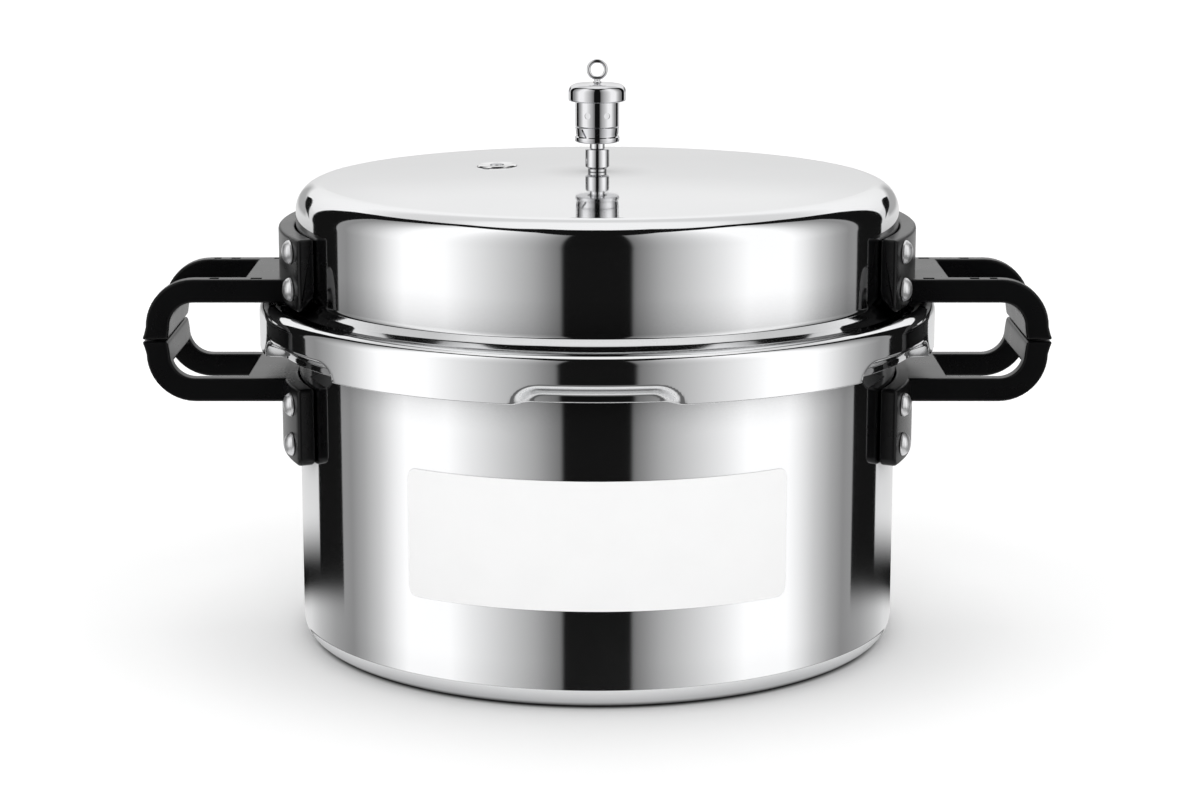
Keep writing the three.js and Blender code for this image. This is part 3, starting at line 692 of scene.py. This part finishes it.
def mould_marks(top):
    """Small blocks that cut the marks of the mould into the top of the rails: place, side and length."""
    bpy.ops.object.select_all(action="DESELECT")
    rail_middle = BAR_HALF_WIDTH - RAIL_WIDTH / 2
    blocks = []
    for x, side, long in ((174, -1, 6), (179, 1, 6), (198, -1, 5), (201, 1, 5), (208, -1, 4)):
        place = (x / 1000, side * rail_middle / 1000, top / 1000)
        bpy.ops.mesh.primitive_cube_add(size=0.001, location=place)
        bpy.ops.transform.resize(value=(long, MARK_WIDTH, MARK_HEIGHT))
        bpy.ops.object.transform_apply(location=True, rotation=True, scale=True)
        blocks.append(bpy.context.object)
    tool = blocks[0]
    for block in blocks[1:]:
        join(tool, block)
    return tool


def make_handles():
    lid_bar = handle_bar("lid_handle_moulded_right")
    pot_bar = copy_piece(lid_bar, "pot_handle_moulded_right", Matrix.Identity(4))
    # The pot's bar is the lid's, mirrored at the parting height.
    select_only(pot_bar)
    bpy.ops.object.mode_set(mode="EDIT")
    bpy.ops.mesh.select_all(action="SELECT")
    bpy.ops.transform.resize(value=(1, 1, -1), center_override=(0, 0, PARTING / 1000))
    close_mesh()
    edge_round(lid_bar, BAR_EDGE)
    edge_round(pot_bar, BAR_EDGE)
    cut(lid_bar, mould_marks(BAR_FOOT + BAR_THICKNESS))
    # The foot of the lid's saddle slopes up to the wall, clear of the round corner of the shelf.
    lid_wall = LID_RADIUS + SADDLE_GAP
    lid_foot = saddle("lid_saddle", LID_SADDLE_HALF_ANGLE, [
        (lid_wall, LID_SADDLE_TOP), (SADDLE_RADIUS, LID_SADDLE_TOP), (SADDLE_RADIUS, BAR_FOOT + 0.3),
        (166.2, BAR_FOOT + 1.4), (lid_wall, LID_SADDLE_INNER_FOOT),
    ])
    pot_wall = POT_RADIUS + SADDLE_GAP
    pot_foot = saddle("pot_saddle", POT_SADDLE_HALF_ANGLE, [
        (pot_wall, POT_SADDLE_FOOT), (SADDLE_RADIUS, POT_SADDLE_FOOT),
        (SADDLE_RADIUS, POT_SADDLE_TOP), (pot_wall, POT_SADDLE_TOP),
    ])
    edge_round(lid_foot, SADDLE_EDGE)
    edge_round(pot_foot, SADDLE_EDGE)
    for bar, foot, body in ((lid_bar, lid_foot, "lid"), (pot_bar, pot_foot, "pot")):
        right = join(bar, foot)
        smooth(right)
        left = copy_piece(right, f"{body}_handle_moulded_left", Matrix.Rotation(math.pi, 4, "Z"))
        dress(right, body, "black_phenolic", phenolic, f"{body}_handle_right")
        dress(left, body, "black_phenolic", phenolic, f"{body}_handle_left")


# Rivets.

def make_rivets():
    """One domed head on its shank, copied to every place on the saddles."""
    head = turned("rivet_formed", rounded([
        (0, -RIVET_LENGTH, 0), (RIVET_SHANK, -RIVET_LENGTH, 0), (RIVET_SHANK, 0.15, 0),
        (RIVET_RADIUS, 0.15, 0.15), (6, 1.2, 1.2), (4.7, 2.9, 3), (2.6, 3.85, 4), (0, 4.15, 0),
    ]), steps=56)
    smooth(head, 60)
    for body, spread, heights in RIVET_PLACES:
        for side, turn in (("right", 0), ("left", 180)):
            for i, height in enumerate(heights):
                for j, angle in enumerate((-spread, spread)):
                    node = f"{body}_rivet_{side}_{2 * i + j + 1}"
                    place = (
                        Matrix.Translation((0, 0, height / 1000))
                        @ Matrix.Rotation(math.radians(turn + angle), 4, "Z")
                        @ Matrix.Translation((SADDLE_RADIUS / 1000, 0, 0))
                        @ Matrix.Rotation(math.pi / 2, 4, "Y")
                    )
                    rivet = copy_piece(head, f"{node}_formed", place)
                    dress(rivet, body, "rivet_aluminium", rivet_metal, node)
    bpy.data.objects.remove(head)


# Vent pipe and pressure weight.

def make_vent():
    pipe = turned("vent_pipe_turned", rounded([
        (VENT_BORE, VENT_FOOT, 0), (VENT_SHANK, VENT_FOOT, 0.4), (VENT_SHANK, CROWN + 0.1, 0),
        (5, CROWN + 0.1, 0.2), (5, CROWN + 1.6, 0.4), (COLLAR_RADIUS, CROWN + 2.7, 0.4),
        (COLLAR_RADIUS, COLLAR_TOP, 0.6), (STEM_RADIUS, COLLAR_TOP, 0.5), (STEM_RADIUS, STEM_TOP, 0.6),
        (2.2, STEM_TOP, 0), (VENT_BORE, STEM_TOP - 0.8, 0), (VENT_BORE, VENT_FOOT, 0),
    ]), steps=64)
    smooth(pipe)
    dress(pipe, "lid", "stainless_steel", steel, "vent_pipe")


def make_weight_sleeve():
    """The lower part of the weight, with a bead round its foot and a slanting slot."""
    sleeve = turned("weight_sleeve_turned", rounded([
        (SLEEVE_BORE, SLEEVE_FOOT, 0), (WEIGHT_RADIUS, SLEEVE_FOOT, 0.9), (11.9, SLEEVE_FOOT + 1.8, 0.6),
        (11.85, SLEEVE_FOOT + 2.7, 0.4), (11.25, SLEEVE_FOOT + 3.4, 0.5), (11.3, SLEEVE_FOOT + 4.4, 0.5),
        (WEIGHT_RADIUS, SLEEVE_TOP, 0.3), (SLEEVE_SPIGOT, SLEEVE_TOP, 0), (SLEEVE_SPIGOT, SPIGOT_TOP, 0),
        (SLEEVE_BORE, SPIGOT_TOP, 0), (SLEEVE_BORE, SLEEVE_FOOT, 0),
    ]), steps=96)
    bpy.ops.object.select_all(action="DESELECT")
    bpy.ops.mesh.primitive_cube_add(size=0.001)
    slot = bpy.context.object
    slot.data.transform(
        Matrix.Rotation(math.radians(SLOT_TURN), 4, "Z")
        @ Matrix.Translation((0, -TOOL_PLACE / 1000, (SLEEVE_TOP - SLOT_DROP) / 1000))
        @ Matrix.Rotation(math.radians(SLOT_SLANT), 4, "Y")
        @ Matrix.Diagonal((*SLOT_SIZE, 1))
    )
    cut(sleeve, slot)
    smooth(sleeve)
    dress(sleeve, "weight", "bright_chrome", chrome, "weight_sleeve")


def make_weight_body():
    """The middle of the weight, bored for the needle, with four shallow round marks punched in."""
    body = turned("weight_body_turned", rounded([
        (0, NEEDLE_SEAT, 0), (NEEDLE_HOLE, NEEDLE_SEAT, 0), (NEEDLE_HOLE, WEIGHT_BORE_TOP, 0),
        (WEIGHT_BORE, WEIGHT_BORE_TOP, 0), (WEIGHT_BORE, SLEEVE_TOP + 0.3, 0),
        (WEIGHT_RADIUS, SLEEVE_TOP + 0.3, 0.4), (WEIGHT_RADIUS, WEIGHT_TOP, 0.3),
        (RING_HOLE, WEIGHT_TOP, 0), (RING_HOLE, RING_HOLE_FOOT, 0), (0, RING_HOLE_FOOT, 0),
    ]), steps=96)
    for turn in PUNCH_ANGLES:
        bpy.ops.object.select_all(action="DESELECT")
        bpy.ops.mesh.primitive_cylinder_add(
            vertices=28, radius=PUNCH_RADIUS / 1000, depth=PUNCH_DEPTH / 1000,
        )
        punch = bpy.context.object
        punch.data.transform(
            Matrix.Rotation(math.radians(turn), 4, "Z")
            @ Matrix.Translation((0, -TOOL_PLACE / 1000, PUNCH_HEIGHT / 1000))
            @ Matrix.Rotation(math.pi / 2, 4, "X")
        )
        cut(body, punch)
    smooth(body)
    dress(body, "weight", "bright_chrome", chrome, "weight_body")


def make_weight_cap():
    cap = turned("weight_cap_turned", rounded([
        (CAP_INNER, CAP_FOOT, 0), (CAP_RADIUS, CAP_FOOT, 1), (CAP_RADIUS, CAP_TOP - 0.9, 4.2),
        (RING_HOLE, CAP_TOP, 0.3), (RING_HOLE, CAP_TOP - CAP_SHEET, 0),
        (CAP_INNER, CAP_TOP - CAP_SHEET, 0), (CAP_INNER, CAP_FOOT, 0),
    ]), steps=96)
    smooth(cap)
    dress(cap, "weight", "bright_chrome", chrome, "weight_cap")


def make_pull_ring():
    """A wire eye, spun full circle, on a turned neck that runs down into the cap."""
    bpy.ops.object.select_all(action="DESELECT")
    bpy.ops.mesh.primitive_circle_add(vertices=16, radius=RING_WIRE / 1000, fill_type="NOTHING")
    ring = bpy.context.object
    ring.name = "pull_ring_wire"
    bpy.ops.object.mode_set(mode="EDIT")
    bpy.ops.mesh.select_all(action="SELECT")
    bpy.ops.transform.translate(value=(RING_RADIUS / 1000, 0, 0))
    bpy.ops.mesh.spin(steps=56, angle=math.tau, center=(0, 0, 0), axis=(0, 1, 0))
    close_mesh()
    ring.data.transform(Matrix.Translation((0, 0, RING_CENTRE / 1000)))
    neck = turned("pull_ring_neck", rounded([
        (0, WEIGHT_TOP - 4.3, 0), (1.5, WEIGHT_TOP - 4.3, 0), (1.5, CAP_TOP + 0.1, 0),
        (2.45, CAP_TOP + 0.1, 0.1), (2.2, CAP_TOP + 0.5, 0.3), (1.5, CAP_TOP + 1.2, 0.7),
        (1.45, RING_CENTRE - 5.2, 0.4), (0.8, RING_CENTRE - 4.6, 0.2), (0, RING_CENTRE - 4.5, 0),
    ]), steps=32)
    join(ring, neck)
    smooth(ring)
    dress(ring, "pull_ring", "stainless_steel", steel, "pull_ring")


# Safety valve.

def make_valve():
    """A turned disc and its plug, both square to the dome where they stand."""
    away = math.hypot(*VALVE)
    tilt = math.atan(2 * DOME_RISE * away / DOME_RADIUS ** 2)
    place = (
        Matrix.Translation((VALVE[0] / 1000, VALVE[1] / 1000, dome(away) / 1000))
        @ Matrix.Rotation(tilt, 4, Vector((-VALVE[1], VALVE[0], 0)))
    )
    disc = turned("safety_valve_turned", rounded([
        (VALVE_BORE, -VALVE_STEM, 0), (5, -VALVE_STEM, 0.3), (5, 0.1, 0), (11, 0.1, 0.1),
        (10.5, 0.75, 0.6), (9.2, 1.3, 1.2), (7.4, 0.75, 1.6), (5.6, 0.45, 2), (VALVE_BORE, 0.45, 0),
        (VALVE_BORE, -VALVE_STEM, 0),
    ]), steps=72)
    disc.data.transform(place)
    smooth(disc)
    dress(disc, "lid", "plated_brass", nickel, "safety_valve_body")
    plug = turned("fusible_plug_cast", rounded([
        (0, -PLUG_STEM, 0), (2.2, -PLUG_STEM, 0), (2.2, 0.5, 0), (3.9, 0.5, 0.1), (3.7, 1.1, 0.3),
        (2.9, 1.35, 0.4), (1.6, 0.95, 0.6), (0, 0.9, 0),
    ]), steps=40)
    plug.data.transform(place)
    smooth(plug)
    dress(plug, "lid", "tin_alloy", tin, "fusible_plug")


# Solids that stay as they are get their finish.

def finish_solids():
    for names, material in (
        (("vent_nut", "weight_clip", "weight_needle"), steel),
        (("safety_valve_nut",), nickel),
        (("vent_washer", "safety_valve_washer"), rubber),
    ):
        for name in names:
            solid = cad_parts[name]
            solid.data.materials.clear()
            solid.data.materials.append(material)


# Studio: a white floor, a soft lamp, and a world of graded side panels before a white sweep.

# Floor, in millimetres from the cooker's axis: its glow, which is turned down towards the pot as a painted
# soft shadow, the dark grey paint under the rounded foot of the pot, a painted contact shadow, and the
# table's edge, which polished metal sees past.
FLOOR_FADE = 500
# Glow by distance: even white far out, turned down near the pot as a painted soft shadow.
FLOOR_GLOW_AND_PAINTED_SHADOW = (
    (150, 0), (158, 0.05), (163, 0.14), (170, 0.22), (180, 0.26), (200, 0.3), (240, 0.37), (300, 0.42),
    (500, 0.5),
)
# Radii over which the painted contact shadow under the foot turns to white paint.
PAINTED_SHADOW_GAP = (151.5, 157.5)
TABLE_EDGE = 180
TABLE_END = 2.2 * TABLE_EDGE
# How far the floor is turned from a look that sees past it, as the shares where that begins and is full.
SHALLOW = (0.645, 0.665)
# Side of the floor, and place, size and tilt of the lamp, in metres, degrees and watts.
FLOOR_SIZE = 60
LAMP_PLACE = (0, -3, 1.5)
LAMP_TILT = 65
LAMP_SIZE = 2
LAMP_POWER = 26

# Directions in the world are degrees from the front, alike on both sides, and degrees above the horizon.
# Heights are carried as a share of LEVEL_SPAN degrees, from LEVEL_LOW degrees below the horizon.
LEVEL_LOW = 20
LEVEL_SPAN = 110
NEVER = 88

# Brightness of the panels by direction, with a dark gap straight ahead.
PANEL_SHADES = (
    (0, 0.007), (12.4, 0.007), (13.6, 0.19), (18, 0.29), (24, 0.44), (36, 0.68), (48, 0.92), (58, 1.15),
    (77, 1.15), (83, 0.95), (91, 0.65), (100, 0.42), (108, 0.28), (112, 0.3), (122, 0.38), (135, 0.55),
    (150, 0.78), (180, 0.8),
)
# Height by direction of the panels' dark upper edge, and of the white sweep beyond it.
PANEL_TOPS = (
    (0, 70), (14, 53), (24, 56), (35, 60), (52, 61), (75, 60), (90, 57), (103, 47), (112.5, 36),
    (114.6, -16), (180, -16),
)
SWEEP_FEET = (
    (0, 77), (30, 76), (55, 75), (70, 69), (100, 62.5), (118, 51.5), (129, 40.5), (133, 34), (134.5, 20),
    (135.5, -15.2), (180, -15.2),
)
# Brightness of the sweep by height.
SWEEP_SHADES = (
    (-15, 0.78), (4, 0.76), (8, 0.8), (11, 0.9), (16, 0.93), (22, 0.98), (36, 1.02), (46, 0.78), (58, 0.76),
    (66, 1.0), (90, 1.0),
)
# A grey board on each side, behind the cooker, and the feet and heads of a leaning black flag before it.
# Where its foot is at NEVER, no flag stands.
BOARD_SIDES = (143, 168)
BOARD_HEIGHTS = (-3, 9)
BOARD_SOFT = 2
FLAG_FEET = (
    (0, NEVER), (138, NEVER), (138.4, -4), (142, 1), (145, 3), (150, 5.5), (155, 8), (157.6, 9), (158, NEVER),
    (180, NEVER),
)
FLAG_HEADS = (
    (0, -4), (138.4, -4), (140, 2), (142, 6), (145, 11), (148, 13), (152, 14), (155, 13), (157.6, 9.5),
    (180, 9.5),
)
# Degrees over which the edges of the panels, the sweep and the flag are soft.
PANEL_SOFT = 0.6
SWEEP_SOFT = 1.2
FLAG_SOFT = 0.8
# Heights between which the dim room below the panels begins.
ROOM_HEIGHTS = (-18.6, -19.6)

BLACK = (0.007, 0.007, 0.007, 1)
DIM = (0.14, 0.14, 0.14, 1)
GREY = (0.42, 0.42, 0.42, 1)
WHITE = (1, 1, 1, 1)


def make_floor():
    bpy.ops.object.select_all(action="DESELECT")
    bpy.ops.mesh.primitive_plane_add(size=FLOOR_SIZE)
    floor = bpy.context.object
    floor.name = "floor"
    made = bpy.data.materials.new("floor_white_matt")
    made.use_nodes = True
    tree = made.node_tree
    tree.nodes.clear()
    place = add(tree, "ShaderNodeTexCoord").outputs["Object"]
    away = add(tree, "ShaderNodeVectorMath", {0: place}, operation="LENGTH").outputs["Value"]
    # White paint gives a matt, even floor. In the narrow gap under the rounded foot of the pot the paint is
    # dark grey: a painted contact shadow.
    clear_of_painted_shadow = add(tree, "ShaderNodeMapRange", {
        "Value": away, "From Min": PAINTED_SHADOW_GAP[0] / 1000, "From Max": PAINTED_SHADOW_GAP[1] / 1000,
    }, interpolation_type="SMOOTHSTEP")
    tint = add(tree, "ShaderNodeMix", {
        FACTOR: clear_of_painted_shadow.outputs["Result"], FIRST: colour("#202020"), SECOND: colour("#f4f4f4"),
    }, data_type="RGBA")
    paint = add(tree, "ShaderNodeBsdfDiffuse", {"Color": tint.outputs[MIXED]})
    # Its white glow is turned down towards the foot of the pot: a painted soft shadow round the pot.
    share = add(tree, "ShaderNodeMath", {0: away, 1: FLOOR_FADE / 1000}, operation="DIVIDE")
    stops = [(distance / FLOOR_FADE, shine) for distance, shine in FLOOR_GLOW_AND_PAINTED_SHADOW]
    glow_with_painted_shadow = add(tree, "ShaderNodeValToRGB", {"Fac": share.outputs[0]}, stops)
    glow = add(tree, "ShaderNodeEmission", {"Color": glow_with_painted_shadow.outputs["Color"], "Strength": 1.0})
    lit = add(tree, "ShaderNodeAddShader", {0: paint.outputs[0], 1: glow.outputs[0]})
    # Metal sees the studio instead, past the table's edge and where it looks along the floor.
    path = add(tree, "ShaderNodeLightPath")
    mirrored = add(tree, "ShaderNodeMath", {
        0: path.outputs["Is Glossy Ray"], 1: path.outputs["Is Transmission Ray"],
    }, operation="MAXIMUM")
    slant = add(tree, "ShaderNodeLayerWeight", {"Blend": 0.5})
    shallow = add(tree, "ShaderNodeMapRange", {
        "Value": slant.outputs["Facing"], "From Min": SHALLOW[0], "From Max": SHALLOW[1],
    })
    beyond = add(tree, "ShaderNodeMapRange", {
        "Value": away, "From Min": TABLE_EDGE / 1000, "From Max": TABLE_END / 1000,
    }, interpolation_type="SMOOTHSTEP")
    open_air = add(tree, "ShaderNodeMath", {
        0: shallow.outputs["Result"], 1: beyond.outputs["Result"],
    }, operation="MAXIMUM")
    through = add(tree, "ShaderNodeMath", {
        0: mirrored.outputs[0], 1: open_air.outputs[0],
    }, operation="MULTIPLY")
    clear = add(tree, "ShaderNodeBsdfTransparent")
    seen = add(tree, "ShaderNodeMixShader", {0: through.outputs[0], 1: lit.outputs[0], 2: clear.outputs[0]})
    add(tree, "ShaderNodeOutputMaterial", {"Surface": seen.outputs[0]})
    floor.data.materials.append(made)


def make_lamp():
    """A broad soft lamp behind the camera lights what is matt: the floor and the film."""
    bpy.ops.object.light_add(type="AREA", location=LAMP_PLACE, rotation=(math.radians(LAMP_TILT), 0, 0))
    lamp = bpy.context.object
    lamp.name = "front_lamp"
    lamp.data.size = LAMP_SIZE
    lamp.data.energy = LAMP_POWER
    lamp.visible_glossy = False


def level(degrees):
    """A height above the horizon as the share that the world's nodes carry."""
    return (degrees + LEVEL_LOW) / LEVEL_SPAN


def make_world():
    world = bpy.data.worlds.new("studio")
    bpy.context.scene.world = world
    world.use_nodes = True
    tree = world.node_tree
    tree.nodes.clear()

    # Direction from the front, as a share of 180 degrees, and height, as a share of LEVEL_SPAN.
    ray = add(tree, "ShaderNodeTexCoord").outputs["Generated"]
    split = add(tree, "ShaderNodeSeparateXYZ", {"Vector": ray})
    front = add(tree, "ShaderNodeMath", {0: split.outputs["Y"], 1: -1.0}, operation="MULTIPLY")
    angle = add(tree, "ShaderNodeMath", {0: split.outputs["X"], 1: front.outputs[0]}, operation="ARCTAN2")
    size = add(tree, "ShaderNodeMath", {0: angle.outputs[0]}, operation="ABSOLUTE")
    turn = add(tree, "ShaderNodeMath", {0: size.outputs[0], 1: math.pi}, operation="DIVIDE").outputs[0]
    rise = add(tree, "ShaderNodeMath", {0: split.outputs["Z"]}, operation="ARCSINE")
    height = add(tree, "ShaderNodeMath", {
        0: rise.outputs[0], 1: math.degrees(1) / LEVEL_SPAN, 2: level(0),
    }, operation="MULTIPLY_ADD").outputs[0]

    def above(line, soft):
        """One above a line of (direction, height), zero below it, softly over a few degrees."""
        stops = [(aside / 180, level(up)) for aside, up in line]
        edge = add(tree, "ShaderNodeValToRGB", {"Fac": turn}, stops)
        over = add(tree, "ShaderNodeMath", {0: height, 1: edge.outputs["Color"]}, operation="SUBTRACT")
        step = add(tree, "ShaderNodeMapRange", {
            "Value": over.outputs[0], "From Max": soft / LEVEL_SPAN,
        }, interpolation_type="SMOOTHSTEP")
        return step.outputs["Result"]

    def within(value, low, high, soft):
        """One between two values, zero outside them."""
        begin = add(tree, "ShaderNodeMapRange", {
            "Value": value, "From Min": low - soft, "From Max": low + soft,
        })
        end = add(tree, "ShaderNodeMapRange", {
            "Value": value, "From Min": high + soft, "From Max": high - soft,
        })
        both = add(tree, "ShaderNodeMath", {
            0: begin.outputs["Result"], 1: end.outputs["Result"],
        }, operation="MULTIPLY")
        return both.outputs[0]

    panel_stops = [(aside / 180, bright) for aside, bright in PANEL_SHADES]
    panels = add(tree, "ShaderNodeValToRGB", {"Fac": turn}, panel_stops).outputs["Color"]
    sweep_stops = [(level(up), bright) for up, bright in SWEEP_SHADES]
    sweep = add(tree, "ShaderNodeValToRGB", {"Fac": height}, sweep_stops).outputs["Color"]
    sides = within(turn, BOARD_SIDES[0] / 180, BOARD_SIDES[1] / 180, BOARD_SOFT / 180)
    heights = within(height, level(BOARD_HEIGHTS[0]), level(BOARD_HEIGHTS[1]), BOARD_SOFT / LEVEL_SPAN)
    board = add(tree, "ShaderNodeMath", {0: sides, 1: heights}, operation="MULTIPLY").outputs[0]
    room = add(tree, "ShaderNodeMapRange", {
        "Value": height, "From Min": level(ROOM_HEIGHTS[0]), "From Max": level(ROOM_HEIGHTS[1]),
    }, interpolation_type="SMOOTHSTEP").outputs["Result"]

    # Each thing stands before what is already there: where its share is one, it is seen.
    shade = panels
    over_panels = above(PANEL_TOPS, PANEL_SOFT)
    over_edge = above(SWEEP_FEET, SWEEP_SOFT)
    for share, seen in ((over_panels, BLACK), (over_edge, sweep), (board, GREY)):
        shade = add(tree, "ShaderNodeMix", {
            FACTOR: share, FIRST: shade, SECOND: seen,
        }, data_type="RGBA").outputs[MIXED]
    flag = add(tree, "ShaderNodeMix", {
        FACTOR: above(FLAG_HEADS, FLAG_SOFT), FIRST: BLACK, SECOND: shade,
    }, data_type="RGBA").outputs[MIXED]
    for share, seen in ((above(FLAG_FEET, FLAG_SOFT), flag), (room, DIM)):
        shade = add(tree, "ShaderNodeMix", {
            FACTOR: share, FIRST: shade, SECOND: seen,
        }, data_type="RGBA").outputs[MIXED]

    # The camera sees a white background.
    path = add(tree, "ShaderNodeLightPath")
    direct = add(tree, "ShaderNodeMath", {
        0: path.outputs["Is Camera Ray"], 1: path.outputs["Is Transmission Ray"],
    }, operation="MAXIMUM")
    studio = add(tree, "ShaderNodeBackground", {"Color": shade, "Strength": 1.0})
    white = add(tree, "ShaderNodeBackground", {"Color": WHITE, "Strength": 1.0})
    shown = add(tree, "ShaderNodeMixShader", {
        0: direct.outputs[0], 1: studio.outputs[0], 2: white.outputs[0],
    })
    add(tree, "ShaderNodeOutputWorld", {"Surface": shown.outputs[0]})


# Camera: its place in millimetres, its dip in radians and its lens.
CAMERA_BACK = 1507.153
CAMERA_HEIGHT = 439.329
CAMERA_DIP = 0.206
CAMERA_LENS = 85.27
CAMERA_SHIFT = 0.00227


def make_camera():
    scene = bpy.context.scene
    lens = bpy.data.cameras.new("camera")
    lens.sensor_width = 36
    lens.lens = CAMERA_LENS
    lens.shift_x = CAMERA_SHIFT
    lens.clip_end = 30
    camera = bpy.data.objects.new("camera", lens)
    camera.location = (0, -CAMERA_BACK / 1000, CAMERA_HEIGHT / 1000)
    camera.rotation_euler = (math.pi / 2 - CAMERA_DIP, 0, 0)
    scene.collection.objects.link(camera)
    scene.camera = camera
    scene.view_settings.view_transform = "Standard"


make_camera()
make_floor()
make_lamp()
make_world()
make_pot()
make_label()
make_lid()
make_gasket()
make_handles()
make_rivets()
make_vent()
make_weight_sleeve()
make_weight_body()
make_weight_cap()
make_pull_ring()
make_valve()
finish_solids()
